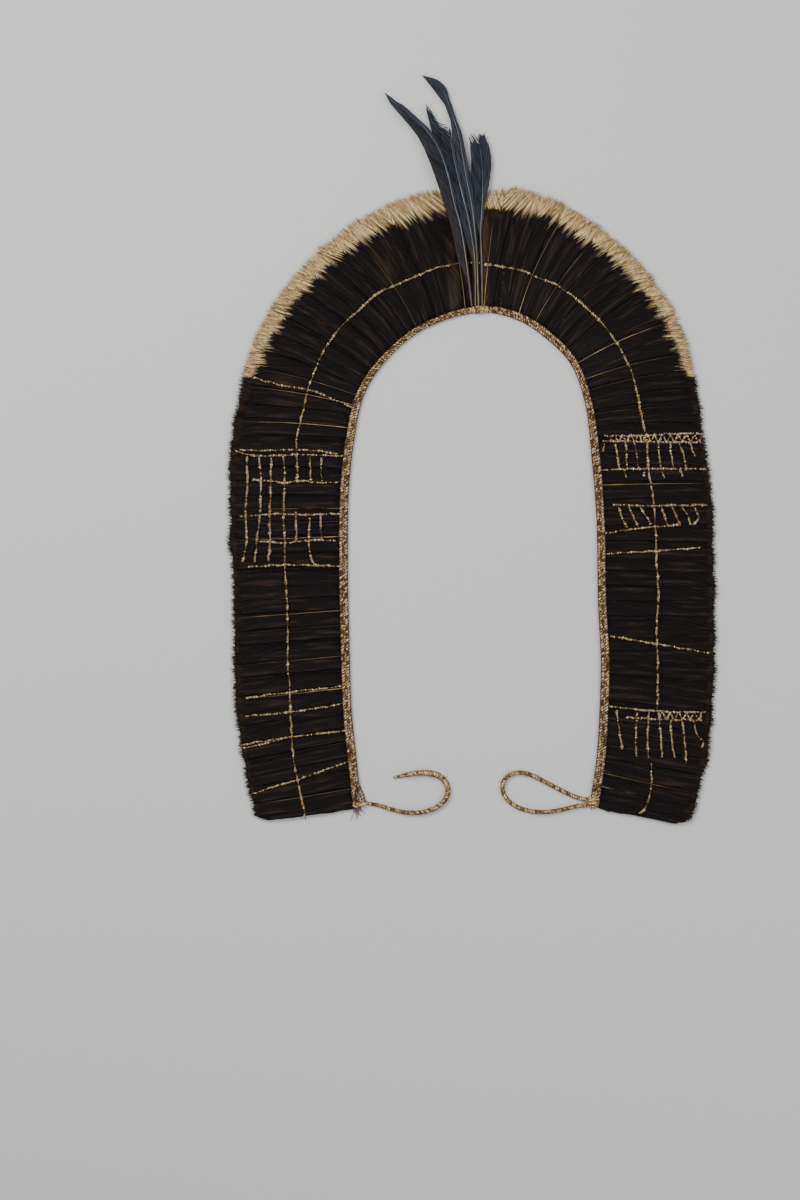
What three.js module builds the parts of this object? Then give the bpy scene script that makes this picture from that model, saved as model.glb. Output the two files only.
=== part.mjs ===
// A feathered headdress laid flat: a tall arch of two bound cords carries a fan of broad dark tail
// feathers that overlap like roof tiles, four long blue feathers stand at its crown, and a tie and a
// loop of cord lie at its feet. X runs across the arch, Y from its feet to its crown and Z up from
// the surface that it lies on. The origin is under the middle of the whole, leaving out the ties.
import * as THREE from 'three';

// Driving sizes, in millimetres.
const ARCH_SPAN = 387; // between the middles of the two legs of the band
const ARCH_HEIGHT = 747; // from the feet of the band to its middle at the crown
const BAND_WIDTH = 13.5; // the two cords side by side, on the legs
const CORD_HEIGHT = 7;
const KNOT_LENGTH = 15;
const KNOT_WIDTH = 20;
const KNOT_HEIGHT = 9;
const LASHING_LENGTH = 27; // along the band, at the crown
const LASHING_HEIGHT = 3;
const FEATHER_LENGTH = 170; // from the middle of the band to a tip, on the legs
const FEATHERS_PER_SIDE = 22;
const FEATHER_LAP = 12; // how far the vane of one feather covers the next
const VANE_EDGE = 0.8; // thickness at the rim of a vane
const VANE_RIB = 1.7; // thickness over the shaft
const VANE_CAMBER = 1; // how far the rims lie below the shaft
const FEATHER_LIFT = 3.2; // rise of a feather over its length
const FEATHER_SINK = 0.6; // drop of its tip towards the surface
const PLUME_REACH = 350; // from the crown of the band to the tip of the tallest blue feather
const PLUME_EDGE = 0.7;
const PLUME_RIB = 1.4;
const PLUME_LIFT = 2.5;
const PLUME_TIP_HEIGHT = 2.2;
const TIE_DIAMETER = 7.5;
const LOOP_DIAMETER = 7;
const GAP = 0.3; // left between pieces that touch

// The middle line of the band, from the left foot over the crown to the right foot. across is a
// share of half the span, up a share of the height and wide a share of the band's width.
const ARCH = [
  { across: -0.899, up: 0.0, wide: 1.0 },
  { across: -0.938, up: 0.092, wide: 1.0 },
  { across: -0.977, up: 0.193, wide: 1.0 },
  { across: -0.996, up: 0.333, wide: 1.0 },
  { across: -1.008, up: 0.494, wide: 1.0 },
  { across: -1.0, up: 0.635, wide: 1.0 },
  { across: -0.957, up: 0.739, wide: 0.98 },
  { across: -0.876, up: 0.831, wide: 0.9 },
  { across: -0.713, up: 0.896, wide: 0.74 },
  { across: -0.407, up: 0.963, wide: 0.66 },
  { across: 0.0465, up: 1.0, wide: 0.76 },
  { across: 0.353, up: 0.985, wide: 0.85 },
  { across: 0.605, up: 0.942, wide: 0.88 },
  { across: 0.775, up: 0.894, wide: 0.84 },
  { across: 0.888, up: 0.815, wide: 0.84 },
  { across: 0.95, up: 0.695, wide: 1.0 },
  { across: 0.984, up: 0.574, wide: 0.94 },
  { across: 0.996, up: 0.414, wide: 0.96 },
  { across: 1.019, up: 0.293, wide: 1.04 },
  { across: 1.006, up: 0.173, wide: 1.04 },
  { across: 0.984, up: 0.092, wide: 1.08 },
  { across: 0.93, up: 0.0, wide: 1.08 },
];

// How the feathers fan out, by their place from the crown (0) to a foot (1). lean is the turn of the
// root towards the foot and droop the further turn of the tip, in degrees. left and right are the
// lengths on the two sides, as shares of FEATHER_LENGTH.
const FAN = [
  { at: 0.0, lean: -7, droop: 14, left: 1.08, right: 1.08 },
  { at: 0.05, lean: -7, droop: 18, left: 1.1, right: 1.08 },
  { at: 0.1, lean: -6, droop: 20, left: 1.09, right: 1.02 },
  { at: 0.15, lean: -4, droop: 20, left: 1.07, right: 1.0 },
  { at: 0.2, lean: -3, droop: 18, left: 1.06, right: 0.99 },
  { at: 0.26, lean: -1, droop: 13, left: 1.04, right: 0.96 },
  { at: 0.31, lean: 1, droop: 9, left: 1.03, right: 0.96 },
  { at: 0.375, lean: 4, droop: 4, left: 1.03, right: 0.99 },
  { at: 0.45, lean: 2, droop: 1, left: 1.02, right: 0.99 },
  { at: 0.6, lean: 2, droop: 0, left: 0.98, right: 1.0 },
  { at: 0.75, lean: 4, droop: 0, left: 0.99, right: 0.97 },
  { at: 0.87, lean: 5, droop: 0, left: 0.97, right: 0.94 },
  { at: 0.94, lean: 6, droop: -2, left: 0.94, right: 0.9 },
  { at: 1.0, lean: 2, droop: -3, left: 0.9, right: 0.84 },
];

// The outline of one feather: how much of its full breadth it has along its length.
const VANE = [
  { along: 0.0, breadth: 0.97 },
  { along: 0.06, breadth: 0.98 },
  { along: 0.3, breadth: 1.0 },
  { along: 0.6, breadth: 1.0 },
  { along: 0.86, breadth: 0.98 },
  { along: 0.94, breadth: 0.86 },
  { along: 0.98, breadth: 0.64 },
  { along: 1.0, breadth: 0.36 },
];

// The blue feathers, each from its root at the crown to its tip. across and up place the shaft from
// the crown of the band, and left and right are the vane's breadths on its two sides, all as shares
// of PLUME_REACH. Where right is below 0 the vane is torn away beside the shaft.
const PLUMES = {
  plume_bent_left: {
    layer: 3,
    rows: [
      { across: -0.032, up: 0.02, left: 0.004, right: 0.004 },
      { across: -0.047, up: 0.12, left: 0.004, right: 0.004 },
      { across: -0.058, up: 0.2, left: 0.034, right: 0.005 },
      { across: -0.084, up: 0.356, left: 0.04, right: 0.006 },
      { across: -0.11, up: 0.45, left: 0.04, right: 0.007 },
      { across: -0.137, up: 0.57, left: 0.052, right: 0.008 },
      { across: -0.171, up: 0.67, left: 0.056, right: 0.008 },
      { across: -0.227, up: 0.76, left: 0.044, right: 0.012 },
      { across: -0.313, up: 0.838, left: 0.026, right: 0.012 },
      { across: -0.373, up: 0.89, left: 0.016, right: 0.007 },
      { across: -0.403, up: 0.92, left: 0.003, right: 0.003 },
    ],
  },
  plume_torn: {
    layer: 2,
    rows: [
      { across: -0.017, up: 0.02, left: 0.004, right: 0.004 },
      { across: -0.019, up: 0.12, left: 0.004, right: 0.004 },
      { across: -0.022, up: 0.21, left: 0.012, right: 0.005 },
      { across: -0.034, up: 0.3, left: 0.028, right: 0.006 },
      { across: -0.056, up: 0.412, left: 0.032, right: 0.008 },
      { across: -0.081, up: 0.51, left: 0.042, right: 0.008 },
      { across: -0.103, up: 0.605, left: 0.05, right: 0.008 },
      { across: -0.12, up: 0.69, left: 0.068, right: 0.008 },
      { across: -0.129, up: 0.755, left: 0.07, right: 0.006 },
      { across: -0.134, up: 0.785, left: 0.074, right: -0.04 },
      { across: -0.14, up: 0.82, left: 0.08, right: -0.058 },
      { across: -0.147, up: 0.875, left: 0.083, right: -0.077 },
    ],
  },
  plume_tall: {
    layer: 1,
    rows: [
      { across: -0.004, up: 0.02, left: 0.004, right: 0.004 },
      { across: -0.009, up: 0.12, left: 0.004, right: 0.004 },
      { across: -0.017, up: 0.29, left: 0.009, right: 0.005 },
      { across: -0.034, up: 0.44, left: 0.013, right: 0.012 },
      { across: -0.056, up: 0.55, left: 0.02, right: 0.017 },
      { across: -0.073, up: 0.65, left: 0.026, right: 0.016 },
      { across: -0.09, up: 0.745, left: 0.026, right: 0.013 },
      { across: -0.118, up: 0.836, left: 0.012, right: 0.008 },
      { across: -0.139, up: 0.89, left: 0.016, right: 0.012 },
      { across: -0.164, up: 0.94, left: 0.028, right: 0.022 },
      { across: -0.197, up: 0.975, left: 0.018, right: 0.014 },
      { across: -0.244, up: 0.998, left: 0.003, right: 0.003 },
    ],
  },
  plume_short_right: {
    layer: 0,
    rows: [
      { across: 0.011, up: 0.02, left: 0.004, right: 0.004 },
      { across: 0.009, up: 0.18, left: 0.004, right: 0.004 },
      { across: 0.004, up: 0.33, left: 0.006, right: 0.005 },
      { across: 0.006, up: 0.38, left: 0.024, right: 0.007 },
      { across: 0.011, up: 0.46, left: 0.042, right: 0.013 },
      { across: 0.013, up: 0.545, left: 0.048, right: 0.028 },
      { across: 0.009, up: 0.63, left: 0.044, right: 0.042 },
      { across: 0.001, up: 0.69, left: 0.03, right: 0.034 },
      { across: -0.009, up: 0.735, left: 0.01, right: 0.008 },
    ],
  },
};

// The routes of the two ties on the surface, in the arch's own frame, whose origin is midway
// between the feet: the loose tie at the left foot and the closed loop at the right foot.
const TIE_ROUTE = [
  [-161.7, 7], [-142, 3.5], [-119, -3.5], [-96, -7.5], [-73, -6], [-55.5, 0.5], [-43.5, 11],
  [-38.5, 25], [-42, 38.5], [-51, 47.5], [-66, 52], [-84, 52], [-103, 48.5], [-120, 45],
];
const LOOP_ROUTE = [
  [168.5, 3.6], [158, 2.6], [147, 0.5], [128, -4], [107, -6.5], [85, -5], [66, 1], [51, 12],
  [43.5, 26.5], [46, 41], [57, 50.5], [73, 52.5], [89, 48], [107, 39], [126, 29], [145, 19.5],
  [158, 14.6], [169, 12.3],
];
const TIE_STEPS = 34;
const LOOP_STEPS = 48;
const TIE_SIDES = 8;

const COLOURS = {
  dark: { color: 0x1c1715, roughness: 0.72, metalness: 0 },
  blue: { color: 0x39485f, roughness: 0.6, metalness: 0 },
  cord: { color: 0xb08a58, roughness: 0.92, metalness: 0 },
};

const BAND_STEPS = 76;
const LASHING_STEPS = 6;
const LASHING_TAPER = 0.55; // height of the lashing's ends, as a share of its middle
const FOOT_MARGIN = 0.45; // from the last feather to the foot, as a share of the feathers' spacing
const RISE_SPAN = 1.15; // the feathers' rise ends here, as a share of their length
const PLUME_SPREAD = [0.02, 0.2]; // where the layers of blue feathers part, as shares of the reach
const LAP_RUN = 3 * FEATHER_LAP; // from a root to where the feathers lap in full
const ROUTE_SAMPLES = 900;
const PLUME_STEPS = 20;
const CORNER = 0.29; // cut off the corners of a square section, as a share of its side
const RING = 0.6 * FEATHER_LENGTH; // feathers are spaced evenly at this distance from the band
const PLUME_STEP = PLUME_RIB + 2 * GAP; // height between the layers of blue feathers
const PLUME_ROOT = CORD_HEIGHT + GAP + LASHING_HEIGHT / 2;
const FEATHER_ROOT = CORD_HEIGHT / 2;

const lerp = THREE.MathUtils.lerp;
const smooth = THREE.MathUtils.smoothstep;

// The value of a column in a table of rows, between the rows on both sides of a place.
function between(rows, key, place, column) {
  const next = rows.findIndex((row) => row[key] >= place);
  if (next < 0) return rows.at(-1)[column];
  if (next === 0) return rows[0][column];
  const [from, to] = [rows[next - 1], rows[next]];
  return lerp(from[column], to[column], (place - from[key]) / (to[key] - from[key]));
}

// A closed body through sections. Each has as many points along its top as along its bottom.
function loft(sections) {
  const count = sections[0].top.length;
  const points = sections.flatMap(({ top, bottom }) => [...top, ...[...bottom].reverse()]);
  const around = 2 * count;
  const faces = [];
  for (let ring = 0; ring < sections.length - 1; ring += 1) {
    for (let side = 0; side < around; side += 1) {
      const [a, b] = [ring * around + side, ring * around + ((side + 1) % around)];
      faces.push([a, b, b + around], [a, b + around, a + around]);
    }
  }
  const last = (sections.length - 1) * around;
  for (let side = 0; side < count - 1; side += 1) {
    const [a, b, c, d] = [side, side + 1, around - 2 - side, around - 1 - side];
    faces.push([a, c, b], [a, d, c]);
    faces.push([last + a, last + b, last + c], [last + a, last + c, last + d]);
  }
  const volume = faces.reduce((sum, [a, b, c]) => {
    const cross = new THREE.Vector3().crossVectors(points[b], points[c]);
    return sum + points[a].dot(cross);
  }, 0);
  const outward = volume > 0 ? faces : faces.map(([a, b, c]) => [a, c, b]);
  const geometry = new THREE.BufferGeometry().setFromPoints(points);
  geometry.setIndex(outward.flat());
  geometry.computeVertexNormals();
  return geometry;
}

// The line of the band. The third coordinate of its curve carries the band's width.
const bandCurve = new THREE.CatmullRomCurve3(
  ARCH.map((row) => new THREE.Vector3(
    (row.across * ARCH_SPAN) / 2,
    row.up * ARCH_HEIGHT,
    row.wide * BAND_WIDTH,
  )),
  false,
  'centripetal',
);
bandCurve.arcLengthDivisions = ROUTE_SAMPLES;
const bandLength = bandCurve.getLength();

function bandAt(share) {
  const point = bandCurve.getPointAt(share);
  const tangent = bandCurve.getTangentAt(share).setZ(0).normalize();
  const outward = new THREE.Vector3(-tangent.y, tangent.x, 0);
  return { x: point.x, y: point.y, width: point.z, tangent, outward };
}

// The crown is the row of ARCH that reaches its full height.
function distanceToCrown(share) {
  const place = bandAt(share);
  const crown = ARCH.find((row) => row.up === 1);
  return Math.hypot(place.x - (crown.across * ARCH_SPAN) / 2, place.y - ARCH_HEIGHT);
}

const crownShare = Array.from({ length: ROUTE_SAMPLES + 1 }, (_, i) => i / ROUTE_SAMPLES)
  .reduce((best, share) => (distanceToCrown(share) < distanceToCrown(best) ? share : best));

// A point beside the band: out from its middle line, at a height above the surface.
function beside(place, out, height) {
  return new THREE.Vector3(
    place.x + place.outward.x * out,
    place.y + place.outward.y * out,
    height,
  );
}

// A section across the band, with its corners cut off, from inner to outer and low to high.
function bandSection(place, inner, outer, low, high) {
  const cut = CORNER * Math.min(outer - inner, high - low);
  const top = [
    [inner, high - cut], [inner + cut, high], [outer - cut, high], [outer, high - cut],
  ];
  const bottom = [
    [inner, low + cut], [inner + cut, low], [outer - cut, low], [outer, low + cut],
  ];
  const place3 = ([out, height]) => beside(place, out, height);
  return { top: top.map(place3), bottom: bottom.map(place3) };
}

// One of the band's two cords, from knot to knot. side is -1 for the inner cord and 1 for the outer.
function cord(side) {
  const end = (KNOT_LENGTH + GAP) / bandLength;
  const sections = [];
  for (let step = 0; step <= BAND_STEPS; step += 1) {
    const place = bandAt(lerp(end, 1 - end, step / BAND_STEPS));
    const [near, far] = [GAP / 2, place.width / 2];
    const [inner, outer] = side > 0 ? [near, far] : [-far, -near];
    sections.push(bandSection(place, inner, outer, 0, CORD_HEIGHT));
  }
  return loft(sections);
}

// The knot that gathers both cords at a foot. It bulges to the inside, where the tie leaves it.
const KNOT = [
  { along: 0.0, breadth: 0.55, height: 0.7 },
  { along: 0.3, breadth: 0.95, height: 1.0 },
  { along: 0.7, breadth: 1.0, height: 1.0 },
  { along: 1.0, breadth: 0.8, height: 0.85 },
];

function knot(fromLeft) {
  const sections = KNOT.map((row) => {
    const share = (row.along * KNOT_LENGTH) / bandLength;
    const place = bandAt(fromLeft ? share : 1 - share);
    const outer = place.width / 2;
    const inner = outer - row.breadth * KNOT_WIDTH;
    return bandSection(place, inner, outer, 0, row.height * KNOT_HEIGHT);
  });
  return loft(sections);
}

// The lashing over the crown of the band, which holds the roots of the blue feathers.
function lashing() {
  const half = LASHING_LENGTH / 2 / bandLength;
  const sections = [];
  for (let step = 0; step <= LASHING_STEPS; step += 1) {
    const turn = step / LASHING_STEPS;
    const place = bandAt(crownShare + lerp(-half, half, turn));
    const swell = lerp(LASHING_TAPER, 1, Math.sin(Math.PI * turn));
    const low = CORD_HEIGHT + GAP;
    sections.push(
      bandSection(place, -place.width / 2, place.width / 2, low, low + LASHING_HEIGHT * swell),
    );
  }
  return loft(sections);
}

// The height of a dark feather's shaft at a distance from the middle of the band.
function featherHeight(distance) {
  const share = distance / FEATHER_LENGTH;
  return FEATHER_ROOT + FEATHER_LIFT * Math.sin(Math.min(share / RISE_SPAN, 1) * Math.PI)
    - FEATHER_SINK * share;
}

// Places of one side's feathers, from the crown to the foot. side is -1 for left and 1 for right.
function featherPlaces(side) {
  const reach = side > 0 ? 1 - crownShare : crownShare;
  const samples = Array.from({ length: ROUTE_SAMPLES + 1 }, (_, i) => {
    const from = i / ROUTE_SAMPLES;
    return { from, ring: beside(bandAt(crownShare + side * from * reach), RING, 0) };
  });
  let run = 0;
  samples.forEach((sample, i) => {
    run += i ? sample.ring.distanceTo(samples[i - 1].ring) : 0;
    sample.run = run;
  });
  const pitch = run / (FEATHERS_PER_SIDE + FOOT_MARGIN);
  return Array.from({ length: FEATHERS_PER_SIDE }, (_, i) => {
    const from = between(samples, 'run', (i + 1) * pitch, 'from');
    return aim(crownShare + side * from * reach, from, side);
  });
}

// A feather's root, heading and length at a place on the band.
function aim(share, from, side) {
  const place = bandAt(share);
  const radians = THREE.MathUtils.degToRad(between(FAN, 'at', from, 'lean')) * -side;
  const bend = THREE.MathUtils.degToRad(between(FAN, 'at', from, 'droop')) * -side;
  const length = between(FAN, 'at', from, side > 0 ? 'right' : 'left') * FEATHER_LENGTH;
  const heading = place.outward.clone().applyAxisAngle(new THREE.Vector3(0, 0, 1), radians);
  return { share, place, heading, bend, length, side };
}

// A point of a feather's root, which follows the outer face of the band.
function atRoot(feather, aside) {
  const share = feather.share + (feather.side * aside) / bandLength;
  const place = bandAt(THREE.MathUtils.clamp(share, 0, 1));
  return beside(place, place.width / 2 + GAP, 0);
}

// A point on a feather: distance from the middle of the band, and how far to its foot side.
function onFeather(feather, distance, aside) {
  const { place, heading, bend, length } = feather;
  const across = new THREE.Vector3(-heading.y, heading.x, 0);
  const curl = (bend * distance * distance) / (2 * length);
  const turned = heading.clone().addScaledVector(across, (bend * distance) / length).normalize();
  const foot = new THREE.Vector3(-turned.y, turned.x, 0).multiplyScalar(-feather.side);
  return new THREE.Vector3(place.x, place.y, 0)
    .addScaledVector(heading, distance)
    .addScaledVector(across, curl)
    .addScaledVector(foot, aside);
}

const sides = { left: featherPlaces(-1), right: featherPlaces(1) };
const crownFeather = { ...aim(crownShare, 0, -1), bend: 0, length: 0.88 * FEATHER_LENGTH };
const row = [...sides.left.toReversed(), crownFeather, ...sides.right];

// The spacing of a feather from its neighbours, at a distance from the band.
function spacing(index, distance) {
  const near = [row[index - 1], row[index + 1]].filter(Boolean);
  const here = onFeather(row[index], distance, 0);
  return near.reduce((sum, other) => sum + here.distanceTo(onFeather(other, distance, 0)), 0)
    / near.length;
}

const narrowest = Math.min(...row.map((_, index) => spacing(index, BAND_WIDTH / 2)));
const TILT = (VANE_EDGE + VANE_CAMBER / 2 + GAP) / narrowest; // slope that clears the next vane
const CROWN_RAISE = VANE_RIB + GAP; // the crown feather lies over both its neighbours

function feather(index) {
  const own = row[index];
  const root = own.place.width / 2 + GAP;
  const tilt = own === crownFeather ? 0 : TILT;
  const raise = own === crownFeather ? CROWN_RAISE : 0;
  const camber = own === crownFeather ? 0 : VANE_CAMBER;
  const sections = VANE.map(({ along, breadth }) => {
    const distance = lerp(root, own.length, along);
    const lap = FEATHER_LAP * smooth(distance, root, root + LAP_RUN);
    const half = (breadth * (spacing(index, distance) + lap)) / 2;
    const height = featherHeight(distance) + raise;
    const [top, bottom] = [[], []];
    for (const [aside, thick, drop] of [
      [-half, VANE_EDGE, camber], [0, VANE_RIB, 0], [half, VANE_EDGE, camber],
    ]) {
      const at = along ? onFeather(own, distance, aside) : atRoot(own, aside);
      const middle = height + aside * tilt - drop * breadth;
      top.push(at.clone().setZ(middle + thick / 2));
      bottom.push(at.clone().setZ(middle - thick / 2));
    }
    return { top, bottom };
  });
  return loft(sections);
}

// The height of a blue feather above the surface, by its distance from the crown.
function plumeHeight(distance, layer) {
  const share = distance / PLUME_REACH;
  const arc = 4 * PLUME_LIFT * share * (1 - share);
  const sink = (PLUME_ROOT - PLUME_TIP_HEIGHT) * share * share;
  return PLUME_ROOT + arc - sink + layer * PLUME_STEP * smooth(share, ...PLUME_SPREAD);
}

// A blue feather, lofted across its shaft. Its root stops at the lashing's outer face.
function plume({ layer, rows }) {
  const crown = bandAt(crownShare);
  const seat = bandAt(crownShare + (rows[0].across * PLUME_REACH) / bandLength);
  const shaft = new THREE.CatmullRomCurve3(rows.map((r, i) => (i
    ? new THREE.Vector3(crown.x + r.across * PLUME_REACH, crown.y + r.up * PLUME_REACH, 0)
    : beside(seat, seat.width / 2 + GAP, 0))));
  const breadths = new THREE.CatmullRomCurve3(rows.map((r) => new THREE.Vector3(
    r.left * PLUME_REACH,
    r.right * PLUME_REACH,
    0,
  )));
  const sections = [];
  for (let step = 0; step <= PLUME_STEPS; step += 1) {
    const t = step / PLUME_STEPS;
    const at = shaft.getPoint(t);
    const heading = step ? shaft.getTangent(t) : seat.outward;
    const leftward = new THREE.Vector3(-heading.y, heading.x, 0);
    const { x: left, y: right } = breadths.getPoint(t);
    const third = (left + right) / 3;
    const rib = THREE.MathUtils.clamp(0, -right + third, left - third);
    const height = plumeHeight(at.y - crown.y, layer);
    const [top, bottom] = [[], []];
    for (const [aside, thick] of [[left, PLUME_EDGE], [rib, PLUME_RIB], [-right, PLUME_EDGE]]) {
      const spot = at.clone().addScaledVector(leftward, aside);
      top.push(spot.clone().setZ(height + thick / 2));
      bottom.push(spot.clone().setZ(height - thick / 2));
    }
    sections.push({ top, bottom });
  }
  return loft(sections);
}

// A tie: a round cord that lies on the surface along its route.
function tie(route, diameter, steps) {
  const radius = diameter / 2;
  const corners = Array.from({ length: TIE_SIDES }, (_, i) => {
    const angle = ((i + 0.5) * 2 * Math.PI) / TIE_SIDES;
    const spoke = radius / Math.cos(Math.PI / TIE_SIDES);
    return new THREE.Vector2(spoke * Math.cos(angle), spoke * Math.sin(angle));
  });
  const path = new THREE.CatmullRomCurve3(
    route.map(([x, y]) => new THREE.Vector3(x, y, radius)),
    false,
    'centripetal',
  );
  return new THREE.ExtrudeGeometry(new THREE.Shape(corners), { steps, extrudePath: path });
}

const headdress = new THREE.Group();

function add(name, geometry, colour) {
  const mesh = new THREE.Mesh(geometry, new THREE.MeshStandardMaterial(COLOURS[colour]));
  mesh.name = name;
  headdress.add(mesh);
}

add('inner_cord', cord(-1), 'cord');
add('outer_cord', cord(1), 'cord');
add('left_knot', knot(true), 'cord');
add('right_knot', knot(false), 'cord');
add('crown_lashing', lashing(), 'cord');
for (const [side, feathers] of Object.entries(sides)) {
  feathers.forEach((own, i) => {
    const name = `feather_${side}_${String(i + 1).padStart(2, '0')}`;
    add(name, feather(row.indexOf(own)), 'dark');
  });
}
add('feather_crown', feather(row.indexOf(crownFeather)), 'dark');
for (const [name, blue] of Object.entries(PLUMES)) {
  add(name, plume(blue), 'blue');
}

// The origin goes under the middle of everything but the ties.
const box = new THREE.Box3().setFromObject(headdress, true);
add('left_tie', tie(TIE_ROUTE, TIE_DIAMETER, TIE_STEPS), 'cord');
add('right_loop', tie(LOOP_ROUTE, LOOP_DIAMETER, LOOP_STEPS), 'cord');
headdress.position.set(-(box.min.x + box.max.x) / 2, -(box.min.y + box.max.y) / 2, -box.min.z);
headdress.updateMatrixWorld(true);

export default headdress;
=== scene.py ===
"""The looks of a feathered headdress that lies flat on a pale floor, seen from straight above.

Lengths are in metres. The band's line, the fan of dark feathers, the blue feathers and the routes of
the two ties repeat the solids' own tables, so every piece lies where its solid does.
"""
import math

import bpy
import numpy as np
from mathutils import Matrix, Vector


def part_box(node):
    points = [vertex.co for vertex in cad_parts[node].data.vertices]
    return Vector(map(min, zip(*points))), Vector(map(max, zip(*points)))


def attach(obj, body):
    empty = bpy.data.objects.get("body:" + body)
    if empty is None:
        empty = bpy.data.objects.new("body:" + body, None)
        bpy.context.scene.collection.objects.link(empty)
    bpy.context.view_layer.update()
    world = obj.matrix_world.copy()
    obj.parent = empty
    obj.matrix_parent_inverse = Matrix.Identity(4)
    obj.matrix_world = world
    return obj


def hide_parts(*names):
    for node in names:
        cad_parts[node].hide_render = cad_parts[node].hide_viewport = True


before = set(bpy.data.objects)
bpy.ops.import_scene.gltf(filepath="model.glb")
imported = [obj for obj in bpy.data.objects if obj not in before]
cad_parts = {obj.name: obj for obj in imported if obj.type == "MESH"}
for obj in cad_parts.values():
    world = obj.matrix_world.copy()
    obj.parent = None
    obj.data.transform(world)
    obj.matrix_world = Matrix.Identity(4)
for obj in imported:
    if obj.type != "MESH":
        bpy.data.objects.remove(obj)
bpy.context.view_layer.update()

MM = 0.001
UP = np.array([0.0, 0.0, 1.0])
chance = np.random.default_rng(11)

# Sizes that the solids are made from
ARCH_SPAN = 387 * MM
ARCH_HEIGHT = 747 * MM
BAND_WIDTH = 13.5 * MM
CORD_HEIGHT = 7 * MM
KNOT_LENGTH = 15 * MM
KNOT_HEIGHT = 9 * MM
LASHING_LENGTH = 27 * MM
LASHING_HEIGHT = 3 * MM
FEATHER_LENGTH = 170 * MM
FEATHERS_PER_SIDE = 22
FEATHER_LIFT = 3.2 * MM
FEATHER_SINK = 0.6 * MM
FOOT_MARGIN = 0.45
RISE_SPAN = 1.15
PLUME_REACH = 350 * MM
PLUME_LIFT = 2.5 * MM
PLUME_TIP_HEIGHT = 2.2 * MM
PLUME_STEP = 2.3 * MM  # between layers of blue feathers: more than the solids', for the barbs
GAP = 0.3 * MM
CROWN_LENGTH = 0.88 * FEATHER_LENGTH  # of the feather at the crown
CROWN_RAISE = 2.0 * MM  # how far that feather lies over its neighbours
RING = 0.6 * FEATHER_LENGTH  # feathers are spaced evenly at this distance from the band
ROUTE_SAMPLES = 900

# The middle line of the band: across, as a share of half the span; up, as a share of the height;
# and its width as a share of the band's
ARCH = [
    (-0.899, 0.0, 1.0), (-0.938, 0.092, 1.0), (-0.977, 0.193, 1.0), (-0.996, 0.333, 1.0),
    (-1.008, 0.494, 1.0), (-1.0, 0.635, 1.0), (-0.957, 0.739, 0.98), (-0.876, 0.831, 0.9),
    (-0.713, 0.896, 0.74), (-0.407, 0.963, 0.66), (0.0465, 1.0, 0.76), (0.353, 0.985, 0.85),
    (0.605, 0.942, 0.88), (0.775, 0.894, 0.84), (0.888, 0.815, 0.84), (0.95, 0.695, 1.0),
    (0.984, 0.574, 0.94), (0.996, 0.414, 0.96), (1.019, 0.293, 1.04), (1.006, 0.173, 1.04),
    (0.984, 0.092, 1.08), (0.93, 0.0, 1.08),
]

# The fan, from the crown (0) to a foot (1): lean of a root and droop of a tip in degrees, and the
# lengths on the left and right as shares of FEATHER_LENGTH
FAN = np.array([
    (0.0, -7, 14, 1.08, 1.08), (0.05, -7, 18, 1.1, 1.08), (0.1, -6, 20, 1.09, 1.02),
    (0.15, -4, 20, 1.07, 1.0), (0.2, -3, 18, 1.06, 0.99), (0.26, -1, 13, 1.04, 0.96),
    (0.31, 1, 9, 1.03, 0.96), (0.375, 4, 4, 1.03, 0.99), (0.45, 2, 1, 1.02, 0.99),
    (0.6, 2, 0, 0.98, 1.0), (0.75, 4, 0, 0.99, 0.97), (0.87, 5, 0, 0.97, 0.94),
    (0.94, 6, -2, 0.94, 0.9), (1.0, 2, -3, 0.9, 0.84),
])

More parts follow.
